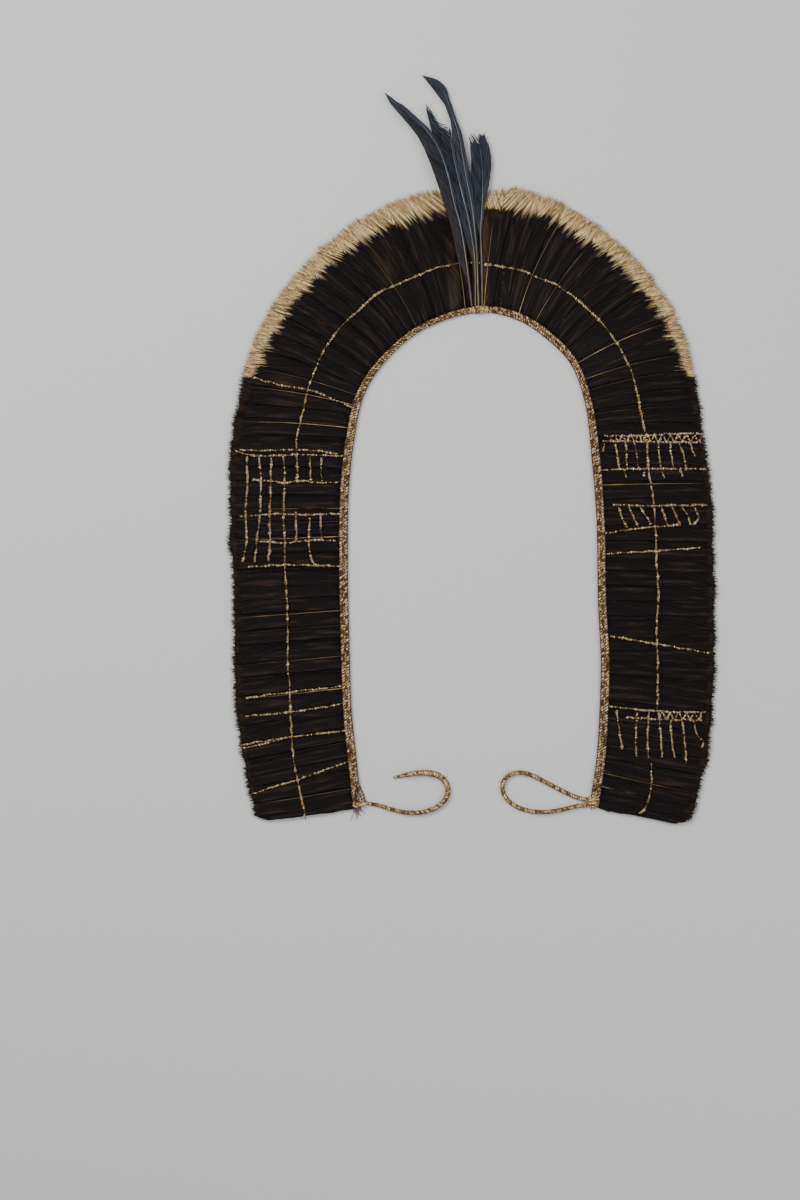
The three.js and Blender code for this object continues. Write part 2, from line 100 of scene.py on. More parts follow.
# The blue feathers: across and up from the crown, and the breadths left and right of the shaft,
# all as shares of PLUME_REACH
PLUMES = {
    "plume_bent_left": (3, [
        (-0.032, 0.02, 0.004, 0.004), (-0.047, 0.12, 0.004, 0.004), (-0.058, 0.2, 0.034, 0.005),
        (-0.084, 0.356, 0.04, 0.006), (-0.11, 0.45, 0.04, 0.007), (-0.137, 0.57, 0.052, 0.008),
        (-0.171, 0.67, 0.056, 0.008), (-0.227, 0.76, 0.044, 0.012), (-0.313, 0.838, 0.026, 0.012),
        (-0.373, 0.89, 0.016, 0.007), (-0.403, 0.92, 0.003, 0.003),
    ]),
    "plume_torn": (2, [
        (-0.017, 0.02, 0.004, 0.004), (-0.019, 0.12, 0.004, 0.004), (-0.022, 0.21, 0.012, 0.005),
        (-0.034, 0.3, 0.028, 0.006), (-0.056, 0.412, 0.032, 0.008), (-0.081, 0.51, 0.042, 0.008),
        (-0.103, 0.605, 0.05, 0.008), (-0.12, 0.69, 0.068, 0.008), (-0.129, 0.755, 0.07, 0.006),
        (-0.134, 0.785, 0.074, -0.04), (-0.14, 0.82, 0.08, -0.058), (-0.147, 0.875, 0.083, -0.077),
    ]),
    "plume_tall": (1, [
        (-0.004, 0.02, 0.004, 0.004), (-0.009, 0.12, 0.004, 0.004), (-0.017, 0.29, 0.009, 0.005),
        (-0.034, 0.44, 0.013, 0.012), (-0.056, 0.55, 0.02, 0.017), (-0.073, 0.65, 0.026, 0.016),
        (-0.09, 0.745, 0.026, 0.013), (-0.118, 0.836, 0.012, 0.008), (-0.139, 0.89, 0.016, 0.012),
        (-0.164, 0.94, 0.028, 0.022), (-0.197, 0.975, 0.018, 0.014), (-0.244, 0.998, 0.003, 0.003),
    ]),
    "plume_short_right": (0, [
        (0.011, 0.02, 0.004, 0.004), (0.009, 0.18, 0.004, 0.004), (0.004, 0.33, 0.006, 0.005),
        (0.006, 0.38, 0.024, 0.007), (0.011, 0.46, 0.042, 0.013), (0.013, 0.545, 0.048, 0.028),
        (0.009, 0.63, 0.044, 0.042), (0.001, 0.69, 0.03, 0.034), (-0.009, 0.735, 0.01, 0.008),
    ]),
}

# The routes of the two ties on the floor, in millimetres from the middle between the feet
TIE_ROUTE = [
    (-161.7, 7), (-142, 3.5), (-119, -3.5), (-96, -7.5), (-73, -6), (-55.5, 0.5), (-43.5, 11),
    (-38.5, 25), (-42, 38.5), (-51, 47.5), (-66, 52), (-84, 52), (-103, 48.5), (-120, 45),
]
LOOP_ROUTE = [
    (168.5, 3.6), (158, 2.6), (147, 0.5), (128, -4), (107, -6.5), (85, -5), (66, 1), (51, 12),
    (43.5, 26.5), (46, 41), (57, 50.5), (73, 52.5), (89, 48), (107, 39), (126, 29), (145, 19.5),
    (158, 14.6), (169, 12.3),
]


def unit(vectors):
    return vectors / np.maximum(np.linalg.norm(vectors, axis=-1, keepdims=True), 1e-12)


def leftward(heading):
    return np.stack([-heading[..., 1], heading[..., 0]], -1)


def smooth(value, low, high):
    t = np.clip((value - low) / (high - low), 0, 1)
    return t * t * (3 - 2 * t)


def flat_to_space(spot, height):
    return np.concatenate([spot, np.broadcast_to(height, spot.shape[:-1])[..., None]], -1)


def run_along(spots):
    """The distance along a row of points, from the first to each."""
    return np.concatenate([[0], np.cumsum(np.linalg.norm(np.diff(spots, axis=0), axis=1))])


class Line:
    """A smooth line through points, with the centripetal spacing that the solids' lines have."""

    DENSE = 4001

    def __init__(self, points):
        knots = np.array(points, float)
        first, last = 2 * knots[0] - knots[1], 2 * knots[-1] - knots[-2]
        ends = np.vstack([first, knots, last])
        t = np.linspace(0, len(knots) - 1, self.DENSE)
        i = np.minimum(t.astype(int), len(knots) - 2)
        w = (t - i)[:, None]
        a, b, c, d = ends[i], ends[i + 1], ends[i + 2], ends[i + 3]
        step = np.linalg.norm(np.diff(ends, axis=0), axis=1) ** 0.5
        x, y, z = step[i][:, None], step[i + 1][:, None], step[i + 2][:, None]
        enter = y * ((b - a) / x - (c - a) / (x + y) + (c - b) / y)
        leave = y * ((c - b) / y - (d - b) / (y + z) + (d - c) / z)
        square, cube = 3 * (c - b) - 2 * enter - leave, 2 * (b - c) + enter + leave
        self.spots = b + enter * w + square * w**2 + cube * w**3
        self.run = run_along(self.spots)
        self.length = self.run[-1]
        self.headings = unit(np.gradient(self.spots[:, :2], axis=0))

    def _read(self, rows, share):
        place = np.clip(share, 0, 1) * self.length
        return np.stack([np.interp(place, self.run, column) for column in rows.T], -1)

    def at(self, share):
        return self._read(self.spots, share)

    def heading(self, share):
        return unit(self._read(self.headings, share))


class Band:
    """The arch's line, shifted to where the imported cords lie."""

    STATIONS = 76  # of the solids

    def __init__(self):
        rows = [(x * ARCH_SPAN / 2, y * ARCH_HEIGHT, w * BAND_WIDTH) for x, y, w in ARCH]
        self.line = Line(rows)
        self.length = self.line.length
        self.shift = np.zeros(2)
        end = (KNOT_LENGTH + GAP) / self.length
        rim = self.beside(np.linspace(end, 1 - end, self.STATIONS + 1), None)
        low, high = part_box("outer_cord")
        self.shift = (np.array(low[:2]) + high[:2] - rim.min(0) - rim.max(0)) / 2
        top = max(rows, key=lambda row: row[1])[:2]
        spots = self.line.at(np.linspace(0, 1, Line.DENSE))[:, :2]
        self.crown = np.linalg.norm(spots - top, axis=1).argmin() / (Line.DENSE - 1)

    def spot(self, share):
        return self.line.at(share)[..., :2] + self.shift

    def width(self, share):
        return self.line.at(share)[..., 2]

    def outward(self, share):
        return leftward(self.line.heading(share))

    def beside(self, share, out):
        """A point out from the middle line; without out, on the outer face."""
        out = self.width(share) / 2 if out is None else out
        return self.spot(share) + self.outward(share) * np.asarray(out)[..., None]


band = Band()


class Feather:
    """The line of one dark feather of the fan: its root, heading, bend and length."""

    def __init__(self, share, from_crown, side):
        self.side = side
        lean, droop, left, right = (np.interp(from_crown, FAN[:, 0], row) for row in FAN.T[1:])
        turn = math.radians(lean) * -side
        out = band.outward(share)
        self.heading = np.array([
            out[0] * math.cos(turn) - out[1] * math.sin(turn),
            out[0] * math.sin(turn) + out[1] * math.cos(turn),
        ])
        self.bend = math.radians(droop) * -side
        self.length = (right if side > 0 else left) * FEATHER_LENGTH
        self.place = band.spot(share)
        self.root = band.width(share) / 2 + GAP
        self.lift = 0.0

    def spot(self, distance, aside):
        """A point at a distance from the middle of the band, and aside towards the foot."""
        distance = np.asarray(distance)[..., None]
        across = leftward(self.heading)
        turned = unit(self.heading + across * (self.bend * distance / self.length))
        foot = leftward(turned) * -self.side
        curl = self.bend * distance**2 / (2 * self.length)
        return (self.place + self.heading * distance + across * curl
                + foot * np.asarray(aside)[..., None])

    def tip(self):
        return self.spot(np.array(self.length), np.array(0.0))


def height_of_fan(distance):
    share = np.asarray(distance) / FEATHER_LENGTH
    rise = FEATHER_LIFT * np.sin(np.clip(share / RISE_SPAN, 0, 1) * math.pi)
    return CORD_HEIGHT / 2 + rise - FEATHER_SINK * share


def feathers_of_side(side):
    reach = 1 - band.crown if side > 0 else band.crown
    parts = np.linspace(0, 1, ROUTE_SAMPLES + 1)
    run = run_along(band.beside(band.crown + side * parts * reach, np.full(len(parts), RING)))
    pitch = run[-1] / (FEATHERS_PER_SIDE + FOOT_MARGIN)
    found = np.interp(pitch * np.arange(1, FEATHERS_PER_SIDE + 1), run, parts)
    return [Feather(band.crown + side * part * reach, part, side) for part in found]


def whole_fan():
    left, right = feathers_of_side(-1), feathers_of_side(1)
    crown = Feather(band.crown, 0, -1)
    crown.bend, crown.length, crown.lift = 0.0, CROWN_LENGTH, CROWN_RAISE
    names = [f"feather_left_{n:02d}" for n in range(len(left), 0, -1)]
    names += ["feather_crown"] + [f"feather_right_{n + 1:02d}" for n in range(len(right))]
    return dict(zip(names, [*reversed(left), crown, *right]))


fan = whole_fan()


def spacing(name, distance):
    """How far a feather's line lies from its neighbours' lines, at distances from the band."""
    names = list(fan)
    index = names.index(name)
    near = [fan[n] for n in names[max(index - 1, 0):index + 2] if n != name]
    here = fan[name].spot(distance, np.zeros_like(distance))
    gaps = [np.linalg.norm(here - other.spot(distance, np.zeros_like(distance)), axis=-1)
            for other in near]
    return sum(gaps) / len(gaps)


def outline_beside(name):
    """The fan's outline beside a feather's tip: places across, towards the foot, and how much
    farther out than the tip it lies there."""
    own = fan[name]
    others = [n for n in fan if n != "feather_crown"]
    index = others.index(name)
    tip = own.tip()
    ahead = (own.spot(np.array(own.length + MM), np.array(0)) - tip) / MM
    aside = (own.spot(np.array(own.length), np.array(MM)) - tip) / MM
    ends = [fan[n].tip() - tip for n in others[max(index - 2, 0):index + 3]]
    return np.array(sorted((end @ aside, end @ ahead) for end in ends)).T


class Strands:
    """Closed strands gathered into one mesh. Each point keeps its place on the feather or cord, for the
    grain of its finish, and four tints: tip, brown_and_shade (the feathers' browner tone, and mostly
    painted shade on the cotton), own and shaft."""

    BARB = np.array([(-0.5, 0.0), (0.5, 0.0), (0.0, 1.0)])

    def __init__(self):
        self.points, self.faces, self.lie, self.tint, self.count = [], [], [], [], 0

    @staticmethod
    def round(sides):
        angle = (np.arange(sides) + 0.5) * 2 * math.pi / sides
        return np.stack([np.cos(angle), np.sin(angle)], -1) / 2

    def add(self, lines, wide, high, profile, lie, tint, reference=UP):
        """lines is (strands, stations, 3); wide and high are the section's size at each station,
        and tint its tints there, or a function that gives them from the places of its corners."""
        strands, stations, _ = lines.shape
        corners = len(profile)
        along = unit(np.gradient(lines, axis=1))
        side = unit(np.cross(along, np.broadcast_to(reference, along.shape)))
        rise = np.cross(side, along)
        wide = np.broadcast_to(wide, (strands, stations))[..., None, None]
        high = np.broadcast_to(high, (strands, stations))[..., None, None]
        spots = (lines[:, :, None] + side[:, :, None] * profile[:, 0, None] * wide
                 + rise[:, :, None] * profile[:, 1, None] * high)
        number = np.arange(strands * stations * corners).reshape(strands, stations, corners)
        number = number + self.count
        turned = np.roll(number, -1, axis=2)
        quads = np.stack([number[:, :-1], turned[:, :-1], turned[:, 1:], number[:, 1:]], -1)
        self.faces += [quads.reshape(-1, 4), number[:, 0, ::-1], number[:, -1]]
        self.points.append(spots.reshape(-1, 3))
        lie = np.broadcast_to(lie, (strands, stations, 2))
        self.lie.append(np.repeat(lie.reshape(-1, 2), corners, axis=0))
        if callable(tint):
            tint = tint(spots)
        else:
            tint = np.broadcast_to(tint, (strands, stations, 4))[:, :, None]
        self.tint.append(np.broadcast_to(tint, (*spots.shape[:3], 4)).reshape(-1, 4))
        self.count += strands * stations * corners

    def piece(self, name, material, slot, node=None):
        points = np.concatenate(self.points)
        sizes = np.concatenate([np.full(len(f), f.shape[1]) for f in self.faces])
        loops = np.concatenate([f.ravel() for f in self.faces])
        mesh = bpy.data.meshes.new(name)
        mesh.vertices.add(len(points))
        mesh.vertices.foreach_set("co", points.ravel().astype(np.float32))
        mesh.loops.add(len(loops))
        mesh.loops.foreach_set("vertex_index", loops.astype(np.int32))
        mesh.polygons.add(len(sizes))
        mesh.polygons.foreach_set("loop_start", np.concatenate([[0], np.cumsum(sizes)[:-1]]))
        mesh.polygons.foreach_set("use_smooth", np.ones(len(sizes), bool))
        mesh.update(calc_edges=True)
        lie = mesh.uv_layers.new(name="lie")
        lie.data.foreach_set("uv", np.concatenate(self.lie)[loops].ravel().astype(np.float32))
        tint = mesh.color_attributes.new("tint", "FLOAT_COLOR", "POINT")
        tint.data.foreach_set("color", np.concatenate(self.tint).ravel().astype(np.float32))
        mesh.materials.append(material)
        piece = bpy.data.objects.new(name, mesh)
        bpy.context.scene.collection.objects.link(piece)
        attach(piece, "root")
        if node:
            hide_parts(node)
        return piece


def tinted(size, tip=0.0, brown_and_shade=0.0, own=0.0, shaft=0.0):
    """The tints of strands: buff or golden tip, brown_and_shade (the feathers' browner tone, and mostly
    painted shade in the cotton's hollows and on its flanks), own tone and pale shaft.
    """
    return np.stack([np.broadcast_to(tint, size) for tint in (tip, brown_and_shade, own, shaft)], -1)


# The camera looks straight down on the photograph's middle, with places in pixels of it
PIXEL = 1.5 * MM
PHOTO_SIZE = (800, 1200)
CROWN_PIXEL = (479.5, 309.5)
LIT_PIXEL = (470, 450)
LENS, SENSOR = 85.0, 36.0
FARTHEST_SEEN = 50.0


def at_pixel(x, y):
    """The point of the floor that a pixel of the photograph shows."""
    crown = band.spot(band.crown)
    return np.array([crown[0] + (x - CROWN_PIXEL[0]) * PIXEL,
                     crown[1] - (y - CROWN_PIXEL[1]) * PIXEL])


def make_camera():
    camera = bpy.data.objects.new("camera", bpy.data.cameras.new("camera"))
    bpy.context.scene.collection.objects.link(camera)
    camera.data.lens, camera.data.sensor_width = LENS, SENSOR
    camera.data.clip_end = FARTHEST_SEEN
    away = PHOTO_SIZE[1] * PIXEL * LENS / SENSOR
    camera.location = (*at_pixel(PHOTO_SIZE[0] / 2, PHOTO_SIZE[1] / 2), away)
    bpy.context.scene.camera = camera


class Signal:
    """A shader socket. Arithmetic on it adds the Math nodes."""

    def __init__(self, finish, socket):
        self.finish, self.socket = finish, socket

    def _math(self, operation, *values):
        sockets = dict(enumerate(values))
        return self.finish.node("ShaderNodeMath", {"operation": operation}, sockets)

    def __add__(self, other):
        return self._math("ADD", self, other)

    def __sub__(self, other):
        return self._math("SUBTRACT", self, other)

    def __rsub__(self, other):
        return self._math("SUBTRACT", other, self)

    def __mul__(self, other):
        return self._math("MULTIPLY", self, other)

    __radd__, __rmul__ = __add__, __mul__

    def between(self, low, high):
        """0 below low and 1 above high, with a smooth step."""
        sockets = {"Value": self, "From Min": low, "From Max": high}
        return self.finish.node("ShaderNodeMapRange", {"interpolation_type": "SMOOTHSTEP"}, sockets)


class Finish:
    """A material of one principled surface."""

    def __init__(self, name, **fixed):
        self.material = bpy.data.materials.new(name)
        self.material.use_nodes = True
        self.tree = self.material.node_tree
        self.surface = self.tree.nodes["Principled BSDF"]
        self.wear(**fixed)

    def node(self, kind, settings, sockets, output=0):
        made = self.tree.nodes.new(kind)
        for name, value in settings.items():
            setattr(made, name, value)
        for name, value in sockets.items():
            self._feed(made.inputs[name], value)
        return Signal(self, made.outputs[output])

    def _feed(self, socket, value):
        if isinstance(value, Signal):
            self.tree.links.new(value.socket, socket)
        else:
            socket.default_value = value

    def tints(self):
        """The four tints of the strands, one by one."""
        tint = self.node("ShaderNodeAttribute", {"attribute_name": "tint"}, {})
        parts = self.node("ShaderNodeSeparateColor", {}, {0: tint})
        outputs = (*parts.socket.node.outputs, tint.socket.node.outputs["Alpha"])
        return [Signal(self, socket) for socket in outputs]

    def grain(self, along, across, detail=3.0):
        """Noise drawn out along the feather: lengths of a patch along it and across it."""
        lie = self.node("ShaderNodeUVMap", {"uv_map": "lie"}, {})
        sizes = (1 / along, 1 / across, 1)
        drawn = self.node("ShaderNodeVectorMath", {"operation": "MULTIPLY"}, {0: lie, 1: sizes})
        return self.noise(drawn, 1.0, detail)

    def noise(self, vector, scale, detail=3.0, rough=0.5):
        sockets = {"Vector": vector, "Scale": scale, "Detail": detail, "Roughness": rough}
        return self.node("ShaderNodeTexNoise", {}, sockets)

    def place(self):
        return self.node("ShaderNodeTexCoord", {}, {}, "Object")

    def mix(self, first, second, factor):
        """A mix of two colours. A Mix node's colours are its sockets 6 and 7, and its output 2."""
        first, second = (c if isinstance(c, Signal) else (*c, 1) for c in (first, second))
        sockets = {0: factor, 6: first, 7: second}
        return self.node("ShaderNodeMix", {"data_type": "RGBA"}, sockets, 2)

    def wear(self, **sockets):
        """Feeds the surface: numbers that are the same all over it, and what changes over it."""
        for name, value in sockets.items():
            self._feed(self.surface.inputs[name.replace("_", " ")], value)
        return self.material

    def relief(self, height, depth):
        return self.node("ShaderNodeBump", {}, {"Height": height, "Distance": depth})


# Colours of the feathers, with painted shadow between the buff strands and painted sheen on the blue
# feathers, and of the cotton: its dark flecks, which are partly painted shadow, its specks and the
# painted shade in its grooves
NEAR_BLACK, SOFT_BLACK = (0.0050, 0.0040, 0.0042), (0.012, 0.0082, 0.0066)
WORN_BROWN, WARM_BROWN = (0.060, 0.036, 0.023), (0.060, 0.037, 0.022)
GOLDEN_SHAFT = (0.58, 0.38, 0.18)
BUFF_DEEP, BUFF_PALE, BUFF_SHADOW_AND_FLECK = (0.19, 0.11, 0.040), (0.84, 0.62, 0.31), (0.12, 0.072, 0.032)
NIGHT_BLUE, SLATE_BLUE, BLUE_SHEEN = (0.006, 0.008, 0.012), (0.030, 0.035, 0.047), (0.095, 0.105, 0.125)
PLUME_BROWN, BONE, HORN = (0.040, 0.026, 0.018), (0.42, 0.42, 0.44), (0.45, 0.29, 0.13)
FLECK_AND_SHADOW, SPECK, GROOVE_SHADE = (0.05, 0.025, 0.010), (0.03, 0.016, 0.008), (0.045, 0.022, 0.009)

# The grain of the feathers: lengths along a feather and across it, and the relief of its barbs
PATCHES, STREAKS, BARBS = (0.07, 0.006), (0.03, 0.0012), (0.004, 0.0003)
BARB_RELIEF = 0.12 * MM


def dark_feather_finish():
    finish = Finish("dark_feather", Specular_IOR_Level=0.08)
    tip, brown_and_shade, own, shaft = finish.tints()
    patches = finish.grain(*PATCHES).between(0.5, 0.68)
    streaks = finish.grain(*STREAKS).between(0.45, 0.75)
    colour = finish.mix(NEAR_BLACK, SOFT_BLACK, own * 0.6)
    colour = finish.mix(colour, WORN_BROWN, patches * (0.25 + streaks * 0.4))
    colour = finish.mix(colour, WARM_BROWN, brown_and_shade * (0.55 + own * 0.4))
    colour = finish.mix(colour, GOLDEN_SHAFT, shaft * (0.3 + streaks * 0.7))
    pale = finish.mix(BUFF_DEEP, BUFF_PALE, own.between(0, 0.9))
    # painted shadow between the buff strands, with dark flecks along the streaks
    pale = finish.mix(pale, BUFF_SHADOW_AND_FLECK, streaks * 0.45)
    colour = finish.mix(colour, pale, tip)
    fine = finish.grain(*BARBS)
    return finish.wear(Base_Color=colour, Roughness=0.5 + fine * 0.25 + tip * 0.2,
                       Normal=finish.relief(fine, BARB_RELIEF))


def blue_feather_finish():
    finish = Finish("blue_feather", Specular_IOR_Level=0.1)
    tip, brown_and_shade, own, shaft = finish.tints()
    streaks = finish.grain(*STREAKS).between(0.4, 0.75)
    colour = finish.mix(NIGHT_BLUE, SLATE_BLUE, own.between(0, 1))
    colour = finish.mix(colour, BLUE_SHEEN, streaks * 0.4)
    colour = finish.mix(colour, PLUME_BROWN, brown_and_shade)
    colour = finish.mix(colour, finish.mix(BONE, HORN, tip), shaft * (0.5 + streaks * 0.5))
    fine = finish.grain(*BARBS)
    return finish.wear(Base_Color=colour, Roughness=0.38 + fine * 0.25,
                       Normal=finish.relief(fine, BARB_RELIEF))


FIBRES = (1.6 * MM, 160 * MM)  # fibres run round the thread: short along it, long across it
FIBRE_RELIEF = 0.2 * MM
FLECK_AND_GLINT_SCALE, SPECK_SCALE = 320.0, 1100.0


def cotton_finish(name, pale, deep, glint, fleck_and_shadow_amount):
    """Hand-spun cotton: fibres that run round the thread, painted glints, fine dark specks, dark fleck
    marks that are partly painted shadow, and painted shade in its grooves.
    """
    finish = Finish(name, Specular_IOR_Level=0.2)
    _, brown_and_shade, own, _ = finish.tints()
    fibres = finish.grain(*FIBRES, 4.0)
    flecks_and_glints = finish.noise(finish.place(), FLECK_AND_GLINT_SCALE, 6.0, 0.72)
    specks = finish.noise(finish.place(), SPECK_SCALE, 2.0)
    colour = finish.mix(deep, pale, (own * 0.9 + fibres * 0.5).between(0.35, 1.0))
    # painted glints where the fleck noise is low
    colour = finish.mix(colour, glint, (own * 0.25 - flecks_and_glints).between(-0.42, -0.28) * 0.9)
    # dark flecks in the cotton, partly painted shadow of the gaps between its fibres
    colour = finish.mix(colour, FLECK_AND_SHADOW, flecks_and_glints.between(0.5, 0.57) * fleck_and_shadow_amount)
    colour = finish.mix(colour, SPECK, specks.between(0.54, 0.66) * fleck_and_shadow_amount)
    # painted shade in the grooves and on the flanks of cords and turns, and darker stretches and ends
    colour = finish.mix(colour, GROOVE_SHADE, brown_and_shade * 0.93)
    return finish.wear(Base_Color=colour, Roughness=0.8 + fibres * 0.15,
                       Normal=finish.relief(fibres, FIBRE_RELIEF))


def floor_finish():
    finish = Finish("pale_floor", Specular_IOR_Level=0.2)
    cloudy = finish.noise(finish.place(), 3.0)
    colour = finish.mix((0.60, 0.59, 0.57), (0.66, 0.65, 0.63), cloudy)
    return finish.wear(Base_Color=colour, Roughness=0.8 + cloudy * 0.1)


TIP_ROUNDING = 2.2
BARB_SAMPLES = 60  # places tried along a barb, to find the stretch of it inside the rim
BARB_TURN = 1.5  # how soon a barb turns off along the vane
BARB_STRETCH = 0.03  # no barb is shorter than this share of its whole path
DRIFT_WINDOW = 7  # barbs that drift aside together
WEB_STATIONS, WEB_TONE, WEB_DEPTH, WEB_THICKNESS = 15, 0.35, 0.3 * MM, 0.14 * MM
SHAFT_STATIONS, SHAFT_RAISE = 26, 0.3 * MM
GOLD_ENDS = (70 * MM, 150 * MM)  # where the golden root of a blue feather's shaft fades out


def rim_of(length, half, shape, s, y):
    """Where a feather ends beside its shaft: rounded by its tip and cut along the fan's outline."""
    share_out = np.clip(np.abs(y) / np.maximum(half(s), 1e-6), 0, 1)
    farther = np.interp(shape["centre"] + y, *shape["outline"])
    rounding = np.where(y > 0, shape["corner"], shape["tip"]) * share_out**TIP_ROUNDING
    return length + farther - rounding


def add_barbs(strands, lines, wide, high, s, y, own, shape, tints, upward=UP):
    lie = np.stack([s, y + shape["seed"]], -1)
    strands.add(lines, wide, high, Strands.BARB, lie, tints(s, y, own), upward)


def vane(strands, spot, length, half, side, shape, tints, torn=None):
    """Barbs on one side of a shaft. spot(s, y) is the point at s along the shaft and y beside it,
    half(s) the vane's breadth there and tints(s, y, own) the four tints. Within torn(s) of the
    shaft the vane is gone."""
    starts = np.arange(-shape["sweep"], length, shape["pitch"])
    starts += chance.uniform(-0.3, 0.3, len(starts)) * shape["pitch"]
    late = chance.uniform(0, shape["ragged"], len(starts))
    fine = np.linspace(0, 1, BARB_SAMPLES)[None]

    def barb(u):
        s = starts[:, None] + shape["sweep"] * u
        inner = torn(s - late[:, None]) if torn else 0 * s
        turned = 1 - (1 - u) ** BARB_TURN
        return s, inner + (half(s) - inner) * turned - shape["wide"] * 0.35 * (1 - u)

    s, y = barb(fine)
    inside = (s >= -shape["tuck"]) & (s <= rim_of(length, half, shape, s, side * y))
    keep = inside.sum(1) > 4
    starts, inside, late = starts[keep], inside[keep], late[keep]
    first = fine[0][inside.argmax(1)]
    last = fine[0][BARB_SAMPLES - 1 - inside[:, ::-1].argmax(1)]
    ragged = chance.uniform(-1, 1, len(starts)) * shape["ragged"] / shape["sweep"]
    last = np.clip(last + ragged, np.minimum(first + BARB_STRETCH, 1), 1)
    share = np.linspace(0, 1, shape["stations"])[None]
    s, y = barb(first[:, None] + (last - first)[:, None] * share)
    drift = np.convolve(chance.normal(0, 1, len(starts) + DRIFT_WINDOW - 1),
                        np.ones(DRIFT_WINDOW) / DRIFT_WINDOW, "valid")
    y = y + (drift * shape["drift"])[:, None] * share * (y > 0)
    own = np.broadcast_to(chance.random(len(starts))[:, None], s.shape)
    lines = spot(s, side * y)
    lines[..., 2] += chance.uniform(0, 0.12, (len(starts), 1)) * MM
    taper = np.sin(np.clip((1 - share) * 4 + 0.12, 0, 1) * math.pi / 2)
    taper = taper * np.clip(0.7 + share * 3, 0, 1)
    wide, high = shape["wide"] * taper, shape["high"] * taper
    add_barbs(strands, lines, wide, high, s, side * y, own, shape, tints)


def web(strands, spot, length, half, side, shape, tints, torn=None, lanes=3):
    """The closed web that lies just under the barbs of a vane, in lanes along the shaft."""
    share = np.linspace(0, 1, WEB_STATIONS)[None]
    out = ((np.arange(lanes) + 0.5) / lanes)[:, None]
    far = np.full_like(out, length)
    end = rim_of(length, half, shape, far, side * out * half(far)) - shape["short"]
    s = -shape["tuck"] + (end + shape["tuck"]) * share
    outer = half(s)
    inner = torn(s) if torn else 0 * s
    y = side * (inner + (outer - inner) * out)
    lines = spot(s, y)
    across = spot(s, y + 0.5 * MM) - spot(s, y - 0.5 * MM)
    upward = unit(np.cross(across, np.gradient(lines, axis=1)))
    upward *= np.sign(upward[..., 2:])
    lines[..., 2] = np.maximum(lines[..., 2] - WEB_DEPTH, WEB_DEPTH)
    wide = 1.3 * np.maximum(outer - inner, 0.2 * MM) / lanes
    add_barbs(strands, lines, wide, WEB_THICKNESS, s, y, WEB_TONE, shape, tints, upward)


def shaft(strands, spot, length, wide, pale, seed, start=0.0, end=0.93, gold=0.0):
    """The pale shaft of a feather, from its root to near its tip."""
    s = np.linspace(start, end * length, SHAFT_STATIONS)[None]
    lines = spot(s, np.zeros_like(s))
    lines[..., 2] += SHAFT_RAISE
    wide = wide * (1 - 0.75 * s / length)
    tint = tinted(s.shape, tip=gold * (1 - smooth(s, *GOLD_ENDS)), own=chance.random(),
                  shaft=pale * (1 - smooth(s, 0.6 * length, 0.95 * length) * 0.7))
    lie = np.stack([s, np.full_like(s, seed)], -1)
    strands.add(lines, wide, 0.55 * wide, Strands.round(6), lie, tint)


def fray(strands, spot, length, half, count, shape, tints):
    """Loose barbs that stand out past the rim of a vane."""
    side = chance.uniform(-0.98, 0.98, count)
    reach = chance.uniform(*shape["fray_length"], count)
    rim = rim_of(length, half, shape, np.full(count, length), side * half(length))
    root = rim + chance.uniform(*shape["fray_out"], count) - reach
    splay = chance.normal(0, shape["splay"], count)
    share = np.linspace(0, 1, 3)[None]
    s = root[:, None] + reach[:, None] * share
    y = (side * half(root))[:, None] + (splay * reach)[:, None] * share
    lines = spot(s, y)
    lines[..., 2] += (chance.uniform(-0.2, 0.7, count)[:, None] * share + 0.2) * MM
    own = np.broadcast_to(chance.random(count)[:, None], s.shape)
    wide = shape["fray_wide"] * (1 - 0.8 * share)
    add_barbs(strands, lines, wide, 0.5 * wide, s, y, own, shape, tints)


# Feathers whose tips lie higher than this have buff tips, which are so deep at some heights of
# their tips, on the left (-1) and right (1)
BUFF_ABOVE = 111 * MM
BUFF_MARGIN = 14 * MM  # a tip lower by less than this is buff where it reaches above
BUFF_HEIGHT = np.array([112, 170, 230, 330, 390]) * MM
BUFF_DEPTH = {
    -1: np.array([15, 17, 22, 25, 30]) * MM,
    1: np.array([9, 15, 19, 24, 29]) * MM,
}
PLAIN_DEPTH = 9 * MM  # of the worn edge on the other feathers
TIP_BLUR = 1.5 * MM

# The blue feathers cover the tips between these places across, and brown strips lie beside them
PLUME_COVER = (-43 * MM, 13 * MM)
BESIDE_PLUMES = ("feather_left_01", "feather_crown", "feather_right_01")
BROWN_STRIPS = ((-35 * MM, -21 * MM), (12 * MM, 23 * MM))
STRIP_BLUR = 2 * MM

# The barbs of a dark feather, how plain and buff tips end, and the last feather at each foot
TUCK = 3 * MM  # how far the roots go in under the band
WEBBED = {"sweep": 105 * MM, "pitch": 5.0 * MM, "ragged": 3.4 * MM, "stations": 7, "drift": 1.2 * MM,
          "wide": 2.0 * MM, "high": 0.26 * MM, "tuck": TUCK}
PLAIN_TIP = {"tip": 4 * MM, "corner": 4 * MM, "short": 2 * MM, "splay": 0.22, "loose": 60,
             "fray_out": (-3 * MM, 6 * MM), "fray_length": (5 * MM, 9 * MM), "fray_wide": 0.9 * MM}
BUFF_TIP = {"tip": 1.5 * MM, "corner": 1.5 * MM, "short": 5 * MM, "splay": 0.12, "loose": 190,
            "fray_out": (-13 * MM, 6 * MM), "fray_length": (7 * MM, 13 * MM), "fray_wide": 0.7 * MM}
LAST_TIP = {**PLAIN_TIP, "corner": 24 * MM, "drift": 3.5 * MM}
LAST_BREADTH, LAST_STRAY = 0.62, -0.2
BREADTH = (0.78, 0.98)  # of a vane, as a share of half the feathers' spacing
WIDENED = {("feather_right_01", -1): 1.7, ("feather_left_01", -1): 1.4}
